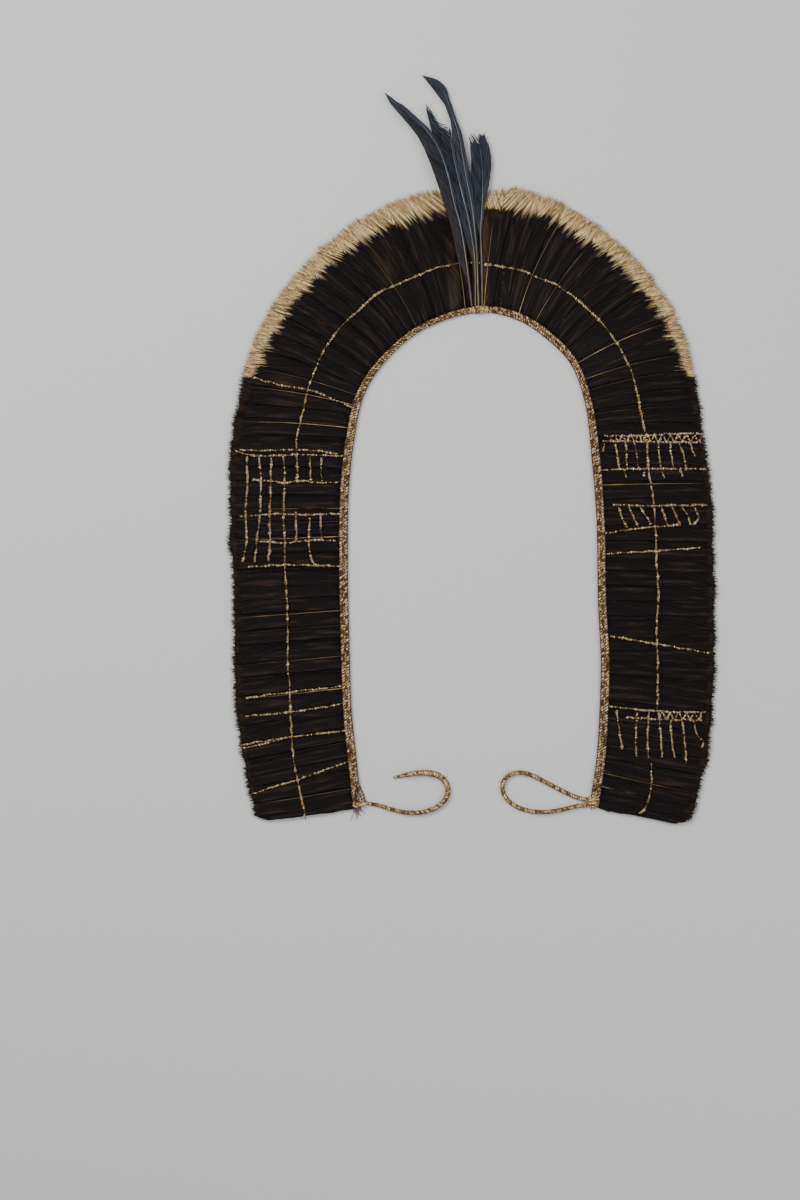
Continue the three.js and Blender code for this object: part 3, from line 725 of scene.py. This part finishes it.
TILT = (0.034, 0.048)  # slope of a vane across its shaft, so that it laps over the next
PALENESS = {0.0: 0.4, 0.15: 0.24, 0.45: 0.18, 1.0: 0.18}  # how often a shaft is so pale


def dark_feather(name):
    """The two overlapping feathers, with shafts, barbs and frayed tips, that one solid stands for."""
    strands = Strands()
    for part in (-1, 1):
        feather_of_pair(strands, name, part)
    return strands.piece(name + "_vanes", DARK, "dark_feather", name)


def feather_of_pair(strands, name, part):
    """One feather of a pair: part is -1 for the one towards the crown and 1 towards the foot."""
    own = fan[name]
    tip = own.tip()
    arch = tip[1] > BUFF_ABOVE - BUFF_MARGIN
    covered = name == "feather_crown" or (arch and PLUME_COVER[0] < tip[0] < PLUME_COVER[1])
    buff = arch and not covered
    reach = own.length * (1 + chance.uniform(-0.012, 0.014) * (0.3 if buff else 1)) - own.root
    grid = np.linspace(own.root, own.root + 1.1 * reach, 60)
    half_gap = spacing(name, grid) / 2
    breadth = WIDENED.get((name, part)) or chance.uniform(*BREADTH)
    stray = chance.uniform(-0.12, 0.12)
    last = part > 0 and name.endswith(f"_{FEATHERS_PER_SIDE}")
    if last:
        breadth, stray = LAST_BREADTH, LAST_STRAY
    tilt = chance.uniform(*TILT) if own.lift == 0 else 0.02 * part
    raised = own.lift + chance.uniform(-0.08, 0.12) * MM

    def half(s):
        return breadth * np.interp(np.asarray(s) + own.root, grid, half_gap)

    def spot(s, y):
        distance = np.asarray(s) + own.root
        middle = (part / 2 + stray) * np.interp(distance, grid, half_gap)
        bow = np.minimum((y / (10 * MM)) ** 2 * 0.08 * MM, 0.6 * MM)
        height = height_of_fan(distance) + raised + y * tilt - bow
        return flat_to_space(own.spot(distance, middle + y), np.maximum(height, 0.4 * MM))

    deep = np.interp(tip[1], BUFF_HEIGHT, BUFF_DEPTH[own.side]) if buff else PLAIN_DEPTH
    deep *= chance.uniform(0.93, 1.07)
    centre = (part / 2 + stray) * half_gap[-6]
    outline = np.zeros((2, 1)) if covered else outline_beside(name)
    shape = {**WEBBED, **(BUFF_TIP if buff else LAST_TIP if last else PLAIN_TIP),
             "outline": outline, "centre": centre, "seed": chance.uniform(0, 4)}

    def tints(s, y, own_tone):
        rim = own.length - own.root + np.interp(centre + y, *outline)
        inner = rim - deep * (0.91 + 0.18 * own_tone)
        edge = smooth(s, inner - TIP_BLUR, inner + TIP_BLUR)
        place = spot(s, y)
        gold = smooth(place[..., 1], BUFF_ABOVE, BUFF_ABOVE + 3 * MM) if buff else 0
        brown_and_shade = edge * (1 - gold) * 0.4
        for low, high in BROWN_STRIPS if name in BESIDE_PLUMES else ():
            strip = smooth(place[..., 0], low, low + STRIP_BLUR)
            strip = strip * (1 - smooth(place[..., 0], high, high + STRIP_BLUR))
            brown_and_shade = np.maximum(brown_and_shade, strip * (0.35 + 0.5 * own_tone))
        return tinted(s.shape, tip=edge * gold, brown_and_shade=brown_and_shade, own=own_tone)

    for side in (-1, 1):
        web(strands, spot, reach, half, side, shape, tints, lanes=6 if breadth > 1 else 3)
        vane(strands, spot, reach, half, side, shape, tints)
    pale = 1.0 if covered else chance.choice(list(PALENESS), p=list(PALENESS.values()))
    shaft(strands, spot, reach, (0.85 + 0.35 * pale) * MM, pale, shape["seed"], -TUCK)
    fray(strands, spot, reach, half, shape["loose"], shape, tints)


# The blue feathers: the barbs of their vanes, and how ragged the ends of the two torn ones are
PLUME_BARBS = {"sweep": 42 * MM, "pitch": 2.3 * MM, "stations": 7, "drift": 1.4 * MM, "wide": 1.15 * MM,
               "high": 0.28 * MM, "tuck": 0.0, "outline": np.zeros((2, 1)), "centre": 0.0}
RAGGED = {"plume_torn": 8 * MM, "plume_short_right": 9 * MM}
PLUME_SPREAD = (0.02, 0.2)  # where the layers of blue feathers part, as shares of the reach
PLUME_SHAFT = 1.5 * MM
THINNEST_VANE = 0.3 * MM
BLUNT = (0.92, 0.8)  # the last breadths of the short blunt feather, as shares of the one before


def plume(name):
    """A blue feather: its shaft, the barbs of its two uneven vanes and its torn rim."""
    layer, rows = PLUMES[name]
    crown = band.spot(band.crown)
    seat_share = band.crown + rows[0][0] * PLUME_REACH / band.length
    seat = band.beside(seat_share, None) + band.outward(seat_share) * GAP
    table = np.array(rows) * PLUME_REACH
    spots = [(*seat, 0), *((crown[0] + x, crown[1] + y, 0) for x, y, _, _ in table[1:])]
    line = Line(spots)
    knots = [np.abs(line.spots[:, :2] - s[:2]).sum(1).argmin() for s in map(np.array, spots)]
    along = line.run[knots]
    length = line.length
    intact = along[table[:, 3] > 0][-1]

    def spot(s, y):
        share = np.asarray(s) / length
        heading = line.heading(share)
        flat = line.at(share)[..., :2] + heading * np.maximum(s - length, 0)[..., None]
        rise = (flat[..., 1] - crown[1]) / PLUME_REACH
        root = CORD_HEIGHT + GAP + LASHING_HEIGHT / 2
        height = (root + 4 * PLUME_LIFT * rise * (1 - rise)
                  - (root - PLUME_TIP_HEIGHT) * rise**2
                  + layer * PLUME_STEP * smooth(rise, *PLUME_SPREAD))
        return flat_to_space(flat + leftward(heading) * y[..., None], height - np.abs(y) * 0.03)

    strands = Strands()
    end = (1 if name in RAGGED else 6) * MM
    shape = {**PLUME_BARBS, "ragged": RAGGED.get(name, 3 * MM), "tip": end, "corner": end,
             "seed": chance.uniform(0, 4), "short": RAGGED.get(name, 0) + 2 * MM}

    def tints(s, y, own):
        brown_and_shade = 0.7 * (1 - smooth(s, 50 * MM, 120 * MM)) * (0.4 + 0.6 * own)
        if name == "plume_bent_left":
            left = smooth(y, 1.5 * MM, 8 * MM) * (1 - 0.5 * smooth(s, 150 * MM, 230 * MM))
            brown_and_shade = np.maximum(brown_and_shade, left * (0.3 + 0.5 * own))
        return tinted(s.shape, brown_and_shade=brown_and_shade, own=own)

    def torn(s):
        return np.maximum(0, -np.interp(s, along, table[:, 3]))

    for side, column, whole, gone in ((1, 2, length, torn), (-1, 3, intact, None)):
        breadth = np.maximum(table[:, column], THINNEST_VANE)
        if name == "plume_short_right":
            breadth[-2:] = breadth[-3] * np.array(BLUNT)

        def half(s, breadth=breadth):
            return np.interp(s, along, breadth)

        web(strands, spot, whole, half, side, shape, tints, gone, 4)
        vane(strands, spot, whole, half, side, shape, tints, gone)
    end = min(0.97, intact / length)
    shaft(strands, spot, length, PLUME_SHAFT, 0.8, shape["seed"], 0.0, end, 0.9)
    return strands.piece(name + "_vanes", BLUE, "blue_feather", name)


BEAD = 4.4 * MM  # the length over which a ply keeps its tone
PLY_RADIUS = {2: 0.5, 3: 0.464}  # of a ply in a cord of so many, as a share of the cord's
PLY_SWELL = 2.06  # a ply's thickness over its radius, so that the plies close
# depth below a cord's surface, as a share of its radius, at which the painted groove shade is full
GROOVE_DEPTH = 0.13


def plied(strands, line_of, length, radius, plies, pitch, steps, sides, seed, flank=0.95, darks=0.0):
    """A twisted cord. line_of(share) gives the middle of the cord and its sideways direction.
    The grooves between its plies get painted shade; flank paints shade on its sides and darkens
    stretches where a ply's own tone is low, and darks paints shade on given stretches."""
    share = np.linspace(0, 1, steps)
    beads = int(length / BEAD) + 2
    middle, sideways = line_of(share)
    ahead = np.cross(sideways, UP)[:, None]
    fat = np.broadcast_to(radius, share.shape)
    ply_radius = fat * PLY_RADIUS[plies]
    offset = fat - ply_radius
    for ply in range(plies):
        angle = share * length / pitch * 2 * math.pi + ply * 2 * math.pi / plies
        line = (middle + sideways * (np.cos(angle) * offset)[:, None]
                + UP * (np.sin(angle) * offset)[:, None])
        own = np.interp(share, np.linspace(0, 1, beads), chance.random(beads))
        # painted shade on the cord's flanks, and dark stretches where a ply's own tone is low
        dark = np.maximum(flank * smooth(np.abs(np.cos(angle)), 0.4, 0.7), darks)
        dark = np.maximum(dark, flank * (1 - smooth(own, 0.16, 0.36)))

        def tints(spots, own=own, dark=dark):
            out = spots[0] - middle[:, None]
            out = out - (out * ahead).sum(-1, keepdims=True) * ahead
            inward = 1 - np.linalg.norm(out, axis=-1) / fat[:, None]
            # painted shade deep in the grooves between plies
            brown_and_shade = np.maximum(smooth(inward, 0.0, GROOVE_DEPTH), dark[:, None])
            return tinted((1, steps, sides), brown_and_shade=brown_and_shade, own=own[:, None])

        lie = np.stack([share * length + seed, np.full(steps, 0.1 * ply)], -1)[None]
        wide = PLY_SWELL * ply_radius
        strands.add(line[None], wide, wide, Strands.round(sides), lie, tints)


FIBRE = 0.16 * MM


def fuzz(strands, line_of, radius, count, reach):
    """Short loose fibres that stand off a cord."""
    share = chance.random(count)
    middle, sideways = line_of(share)
    angle = chance.uniform(-0.2, math.pi + 0.2, count)
    fat = np.interp(share, np.linspace(0, 1, np.size(radius)), np.atleast_1d(radius))
    out = sideways * np.cos(angle)[:, None] + UP * np.sin(angle)[:, None]
    along = unit(np.cross(out, UP + 0.01)) * chance.choice([-1, 1], count)[:, None]
    t = np.linspace(0, 1, 3)
    far = chance.uniform(*reach, count)[:, None, None]
    lines = (middle[:, None] + out[:, None] * (0.8 * fat)[:, None, None]
             + (out[:, None] * 0.5 * t[:, None] ** 2 + along[:, None] * t[:, None]) * far)
    lines[..., 2] = np.maximum(lines[..., 2], 0.2 * MM)
    tint = tinted((count, 3), own=chance.random(count)[:, None])
    wide = FIBRE * (1 - 0.6 * t)[None]
    strands.add(lines, wide, wide, Strands.BARB, np.zeros((count, 3, 2)), tint, (0.3, 0.2, 1.0))


BAND_FUZZ = (1.5 * MM, 4 * MM)
CORD_STEPS, GROOVE_STEPS = 1300, 1400
PARTING = 6.6 * MM  # how far the inner cord leaves the outer at the left foot, towards the tie


def band_cord(name, side):
    """One of the band's two cords, laid up of three plies."""
    first = (1.5 if side > 0 else 7.5) * MM / band.length
    last = 1 - 2 * MM / band.length

    def line_of(share):
        place = first + (last - first) * share
        out = side * (band.width(place) / 4 + GAP / 4)
        if side < 0:
            out = out - PARTING * (1 - smooth(place * band.length, 8 * MM, 42 * MM))
        spots = flat_to_space(band.beside(place, out), CORD_HEIGHT / 2)
        return spots, flat_to_space(band.outward(place), 0.0)

    strands = Strands()
    share = np.linspace(0, 1, CORD_STEPS)
    radius = band.width(first + (last - first) * share) / 4
    radius = np.minimum(radius * 1.04, CORD_HEIGHT / 2)
    plied(strands, line_of, band.length, radius, 3, 13 * MM, CORD_STEPS, 7, side)
    fuzz(strands, line_of, radius, 900, BAND_FUZZ)
    return strands.piece(name + "_plies", COTTON, "band_cotton", name)


def groove_strand():
    """The thin strand that lies in the groove between the band's two cords."""
    end = 4 * MM / band.length

    def line_of(share):
        place = end + (1 - 2 * end) * share
        parted = 1 - smooth(place * band.length, 10 * MM, 38 * MM)
        height = 0.72 * CORD_HEIGHT - 2.6 * MM * parted
        spots = flat_to_space(band.beside(place, -1.6 * MM * parted), height)
        return spots, flat_to_space(band.outward(place), 0.0)

    strands = Strands()
    radius = band.width(np.linspace(end, 1 - end, GROOVE_STEPS)) * 0.165
    plied(strands, line_of, band.length, radius, 2, 8 * MM, GROOVE_STEPS, 6, 3.0)
    return strands.piece("groove_strand", COTTON, "band_cotton")


def loose_ends(name, share, back, count, reach):
    """Ends of thread that lie on the floor past a foot of the band."""
    strands = Strands()
    heading = band.line.heading(share) * back
    aside = leftward(heading)
    t = np.linspace(0, 1, 14)
    for _ in range(count):
        length = chance.uniform(*reach)
        splay = chance.normal(0, 0.16)
        start = band.spot(share) + aside * chance.uniform(-5, 4) * MM - heading * 4 * MM
        wander = splay * t + chance.normal(0, 0.4) * t**2 + 0.06 * np.sin(t * chance.uniform(5, 11))
        flat = start + heading * (length * t)[:, None] + aside * (length * wander)[:, None]
        line = flat_to_space(flat, 0.7 * MM + 3.5 * MM * (1 - t) ** 2)[None]
        tint = tinted((1, len(t)), brown_and_shade=chance.choice([0.2, 0.8]), own=0.6 * chance.random())
        wide = chance.uniform(0.35, 1.1) * MM * (1 - 0.6 * t)[None]
        lie = np.stack([length * t, np.full_like(t, splay)], -1)[None]
        strands.add(line, wide, wide, Strands.round(5), lie, tint)
    return strands.piece(name, COTTON, "band_cotton")


TURN_SIDES = 8
LASHING_TOP = 10.2 * MM  # above the floor


def wraps(node, from_share, to_share, turns, thick, high, reach):
    """Turns of thread over the band between two places, down to the floor on both sides. Each gets
    painted shade where it lies against the next."""
    strands = Strands()
    place = np.linspace(from_share, to_share, turns)
    swing = np.linspace(0, math.pi, 15)
    section = Strands.round(TURN_SIDES)
    # painted shade on the parts of each turn that lie against the next
    grooves = smooth(np.abs(section[:, 1]), 0.15, 0.42)
    inner, outer = reach
    for share in place:
        bulge = 0.72 + 0.28 * math.sin(math.pi * (share - from_share) / (to_share - from_share))
        breadth = (outer - inner) / 2 * (bulge + chance.uniform(-0.05, 0.05))
        out = (outer + inner) / 2 + breadth * np.cos(swing)
        up = 0.4 * MM + (high * bulge - thick) * np.sin(swing) ** 0.7
        skew = share + (swing / math.pi - 0.5) * (to_share - from_share) / turns
        line = flat_to_space(band.beside(skew, out), up + thick / 2)
        tone = np.interp(swing, swing[::3], chance.random(5))[:, None]
        tint = tinted((1, len(swing), TURN_SIDES), brown_and_shade=grooves, own=tone)
        lie = np.stack([swing * 4 * MM, np.full(len(swing), share)], -1)[None]
        along = np.concatenate([band.line.heading(share), [0.0]])
        strands.add(line[None], thick, thick, section, lie, lambda _, tint=tint: tint, along)
    return strands.piece(node + "_turns", COTTON, "band_cotton", node)


def tie_piece(node, route, radius, steps):
    """A free cord on the floor. radius is in millimetres, at even places along it."""
    name = node + "_plies"
    line = Line([(x * MM, y * MM, 0) for x, y in route])
    share = np.linspace(0, 1, steps)
    fat = np.interp(share, np.linspace(0, 1, len(radius)), np.array(radius) * MM)

    def line_of(part):
        height = np.interp(part, share, fat)
        spots = flat_to_space(line.at(part)[..., :2] + band.shift, height)
        return spots, flat_to_space(leftward(line.heading(part)), 0.0)

    strands = Strands()
    plied(strands, line_of, line.length, fat, 3, 11 * MM, steps, 8, len(name), 0.6)
    fuzz(strands, line_of, fat, 160, BAND_FUZZ)
    piece = strands.piece(name, TIE_COTTON, "tie_cotton", node)
    path = line_of(np.linspace(0, 1, 80))[0]
    return piece


LACING = 4  # pixels from one crossing of a laced thread to the next


def laced(start, end, top, low):
    """A thread that goes up and down between two bars."""
    return [(x, top if k % 2 else low) for k, x in enumerate(range(start, end, LACING))]


# The threads on the feathers, in pixels of the photograph: the long one sewn through them halfway
# along, then the bars that run along feathers and the rungs and hanging ends between them
MIDDLE_THREADS = [
    [(480, 263), (460, 264), (442, 267), (420, 275), (400, 284), (380, 292.5), (360, 310),
     (341, 327), (326, 348), (314.5, 371), (308, 391), (301.5, 419), (296.5, 440), (297, 455)],
    [(285, 541), (285, 560), (287, 600), (288, 620), (288, 660), (290, 690), (291, 720),
     (294, 760), (301, 795), (306, 820)],
    [(478, 264), (500, 267), (520, 271), (540, 279), (560, 288), (580, 303), (600, 322),
     (618, 346), (632, 375), (640, 410), (646, 440), (648, 470), (653, 500), (655, 530),
     (656, 560), (658, 598), (656, 625), (657, 660), (657, 711)],
    [(651, 763), (651, 775), (650, 790), (648, 800), (643, 810), (638, 813)],
]
LEFT_BARS = [
    [(235, 451), (250, 455), (262, 456), (297, 455), (343, 456)],
    [(240, 450), (262, 451), (290, 450), (318, 451), (338, 455)],
    [(253, 480), (272, 481), (285, 483), (297, 481), (320, 483), (338, 482)],
    [(240, 517), (258, 515), (275, 514), (305, 515), (340, 514)],
    [(255, 541), (270, 542), (285, 543), (310, 540), (336, 541)],
    [(248, 567), (290, 565), (340, 566)],
    [(248, 377), (278, 385), (309, 390), (332, 399), (354, 409)],
    [(246, 698), (290, 692), (343, 686)], [(246, 716), (290, 712), (345, 703)],
    [(241, 745), (262, 741), (290, 737), (347, 730)], [(243, 748), (262, 744), (285, 738)],
    [(252, 794), (275, 786), (298, 779), (352, 760)],
]
LEFT_RUNGS = [
    [(247, 457), (248, 480), (246, 515), (247, 540), (243, 562)],
    [(259, 456), (261, 480), (260, 515), (257, 541), (255, 562)],
    [(272, 455), (271, 480), (270, 515), (270, 542), (269, 562)],
    [(284, 455), (285, 480), (284, 516), (285, 541)],
    [(297, 455), (298, 484)], [(296, 512), (297, 541)],
    [(310, 457), (311, 481)], [(321, 458), (322, 482)], [(321, 515), (321, 541)],
    [(310, 518), (309, 541), (311, 558), (316, 565), (325, 567)],
]
RIGHT_BARS = [
    [(604, 436), (640, 436), (670, 434), (705, 434)], [(602, 441), (650, 442), (702, 443)],
    [(603, 470), (640, 469), (670, 469), (706, 469)], [(612, 505), (650, 506), (707, 505)],
    [(604, 533), (645, 528), (680, 525)], [(605, 554), (655, 551), (700, 548)],
    [(610, 636), (657, 644), (710, 653)], [(609, 706), (657, 711), (705, 712)],
    [(625, 717), (657, 719), (702, 720)],
    laced(610, 704, 435, 442), laced(658, 703, 712, 719),
]
RIGHT_RUNGS = [
    [(604, 442), (603, 452)], [(615, 442), (617, 456), (619, 469)], [(625, 442), (627, 470)],
    [(634, 441), (636, 455), (638, 470)], [(647, 442), (647, 469)], [(658, 442), (660, 470)],
    [(669, 442), (671, 456), (673, 470)], [(679, 443), (683, 456), (686, 471)],
    [(690, 443), (692, 452), (695, 456)], [(618, 507), (622, 518), (627, 528)],
    [(628, 507), (634, 518), (638, 527)], [(640, 507), (646, 517), (650, 525)],
    [(661, 507), (664, 517), (668, 527)], [(671, 507), (676, 517), (680, 526)],
    [(682, 508), (687, 516), (690, 525)], [(694, 508), (698, 518), (693, 525)],
    [(624, 470), (626, 478)], [(645, 470), (643, 477)], [(661, 470), (664, 478)],
    [(679, 470), (682, 477)], [(616, 710), (619, 730), (622, 749)],
    [(637, 712), (635, 735), (636, 756)], [(648, 712), (647, 735), (648, 758)],
    [(658, 712), (660, 735), (662, 757)], [(670, 720), (671, 740), (674, 758)],
    [(682, 720), (684, 742), (686, 762)], [(693, 720), (697, 735), (703, 742), (701, 748)],
]


VANE_DEPTH = 0.7 * MM  # from the fan's middle height to the upper side of its vanes


def top_of_fan(spots):
    """The height of the feathers' upper side under points of the floor."""
    line = band.spot(np.linspace(0, 1, 1200))
    gap = np.linalg.norm(spots[:, None] - line[None], axis=-1).min(1)
    return height_of_fan(gap) + VANE_DEPTH


HITCH_STATIONS = 6
HITCH_THICKNESS = (0.8 * MM, 1.5 * MM)
HITCH_SWING = 115  # degrees that a hitch reaches down on each side of its thread


def knotted(strands, line_of, length, fat, spacing):
    """Small half hitches that cross a thread, every few millimetres."""
    count = max(2, int(length / spacing))
    share = (np.arange(count) + chance.uniform(0.1, 0.9, count)) / count
    middle, sideways = line_of(share)
    ahead = np.cross(sideways, UP)
    across = unit(sideways + ahead * chance.uniform(-0.5, 0.5, (count, 1)))[:, None]
    thick = np.interp(share, np.linspace(0, 1, len(fat)), fat)
    far = (thick * chance.uniform(0.9, 1.3, count) + 0.3 * MM)[:, None, None]
    swing = np.radians(np.linspace(-HITCH_SWING, HITCH_SWING, HITCH_STATIONS))[:, None]
    lines = middle[:, None] + (across * np.sin(swing) + UP * np.cos(swing)) * far
    size = (count, HITCH_STATIONS)
    tint = tinted(size, own=chance.uniform(0.1, 0.95, count)[:, None])
    wide = chance.uniform(*HITCH_THICKNESS, (count, 1)) * np.cos(0.6 * swing[:, 0])
    strands.add(lines, wide, wide, Strands.round(4), np.zeros((*size, 2)), tint, ahead[:, None])


SEWN_STEP = 1.4 * MM
THREAD_FUZZ = (1.2 * MM, 3.5 * MM)
FUZZ_SPACING = 4 * MM


def sewn(strands, routes, thick, hitches, raised):
    """Two-ply threads that lie on the feathers, with lumps where they were spun thicker."""
    for route in routes:
        line = Line([(*at_pixel(x, y), 0) for x, y in route])
        steps = max(8, int(line.length / SEWN_STEP))
        share = np.linspace(0, 1, steps)
        bends, swells = steps // 5 + 2, steps // 4 + 2
        sway = np.interp(share, np.linspace(0, 1, bends), chance.normal(0, 0.45 * MM, bends))
        lumps = np.interp(share, np.linspace(0, 1, swells), chance.random(swells) ** 1.2)
        fat = thick / 2 * (0.35 + 1.25 * lumps)
        # painted shade on the thin stretches between lumps
        darks = 0.98 * (1 - smooth(lumps, 0.2, 0.5))

        def line_of(part, line=line, share=share, sway=sway, fat=fat):
            sideways = leftward(line.heading(part))
            flat = line.at(part)[:, :2] + sideways * np.interp(part, share, sway)[:, None]
            height = top_of_fan(flat) + np.interp(part, share, fat) + raised
            return flat_to_space(flat, height), flat_to_space(sideways, 0.0)

        seed = chance.uniform(0, 3)
        plied(strands, line_of, line.length, fat, 2, 7 * MM, steps, 5, seed, 0.0, darks)
        knotted(strands, line_of, line.length, fat, hitches)
        fuzz(strands, line_of, fat, int(line.length / FUZZ_SPACING), THREAD_FUZZ)


def threads():
    for name, routes, thick, hitches, raised in (
        ("middle_threads", MIDDLE_THREADS, 2.8 * MM, 16 * MM, 0.3 * MM),
        ("left_bars", LEFT_BARS, 2.2 * MM, 7 * MM, 0.0),
        ("left_rungs", LEFT_RUNGS, 2.9 * MM, 10 * MM, 0.5 * MM),
        ("right_bars", RIGHT_BARS, 2.2 * MM, 7 * MM, 0.0),
        ("right_rungs", RIGHT_RUNGS, 2.6 * MM, 10 * MM, 0.5 * MM),
    ):
        strands = Strands()
        sewn(strands, routes, thick, hitches, raised)
        strands.piece(name, THREAD, "band_cotton")


FLOOR_SIZE, FLOOR_THICKNESS = 60.0, 0.02


def make_floor():
    bpy.ops.mesh.primitive_cube_add(size=1, location=(0, 0, -FLOOR_THICKNESS / 2))
    floor = bpy.context.object
    floor.name = "floor"
    floor.scale = (FLOOR_SIZE, FLOOR_SIZE, FLOOR_THICKNESS)
    floor.data.materials.append(floor_finish())


# Name, place over the middle of the headdress, size and power of each lamp, and the studio's light
LAMPS = (("key", (-1.6, 1.4, 2.6), 1.8, 95), ("fill", (2.0, -0.6, 2.6), 2.4, 45))
STUDIO_COLOUR, STUDIO_STRENGTH = (0.92, 0.95, 1.0, 1), 0.55


def make_lights():
    centre = Vector((*at_pixel(*LIT_PIXEL), 0))
    for name, place, size, power in LAMPS:
        light = bpy.data.lights.new(name, "AREA")
        light.size, light.energy = size, power
        lamp = bpy.data.objects.new(name, light)
        bpy.context.scene.collection.objects.link(lamp)
        lamp.location = centre + Vector(place)
        lamp.rotation_euler = (centre - lamp.location).to_track_quat("-Z", "Y").to_euler()
    world = bpy.data.worlds.new("studio")
    world.use_nodes = True
    inputs = world.node_tree.nodes["Background"].inputs
    inputs["Color"].default_value, inputs["Strength"].default_value = STUDIO_COLOUR, STUDIO_STRENGTH
    bpy.context.scene.world = world


make_camera()
COTTON = cotton_finish("band_cotton", pale=(0.78, 0.48, 0.20), deep=(0.30, 0.15, 0.05),
                       glint=(1.0, 0.80, 0.46), fleck_and_shadow_amount=0.85)
TIE_COTTON = cotton_finish("tie_cotton", pale=(0.78, 0.50, 0.22), deep=(0.34, 0.18, 0.065),
                           glint=(1.0, 0.81, 0.48), fleck_and_shadow_amount=0.75)
THREAD = cotton_finish("sewn_cotton", pale=(1.0, 0.68, 0.32), deep=(0.55, 0.30, 0.10),
                       glint=(1.0, 0.90, 0.60), fleck_and_shadow_amount=0.45)
DARK = dark_feather_finish()
BLUE = blue_feather_finish()
tie_piece("left_tie", TIE_ROUTE, [2.8, 3.1, 3.6, 3.75, 4.0, 4.3, 4.8, 4.2, 1.9], 320)
tie_piece("right_loop", LOOP_ROUTE, [3.4, 3.5, 3.5, 3.4], 400)
band_cord("inner_cord", -1)
band_cord("outer_cord", 1)
foot = KNOT_LENGTH / band.length
wraps("left_knot", 0.1 * foot, 0.5 * foot, 5, 2.2 * MM, KNOT_HEIGHT, (-14 * MM, 7 * MM))
wraps("right_knot", 1 - foot, 1 - 0.1 * foot, 7, 2.4 * MM, KNOT_HEIGHT, (-12 * MM, 7 * MM))
loose_ends("left_foot_ends", 0.0, -1, 30, (8 * MM, 24 * MM))
loose_ends("right_foot_ends", 1.0, 1, 8, (4 * MM, 9 * MM))
groove_strand()
lashed = LASHING_LENGTH / 2 / band.length
wraps("crown_lashing", band.crown - lashed, band.crown + lashed, 12, 2.2 * MM, LASHING_TOP,
      (-5.6 * MM, 5.8 * MM))
for node in fan:
    dark_feather(node)
for node in PLUMES:
    plume(node)
threads()
make_floor()
make_lights()
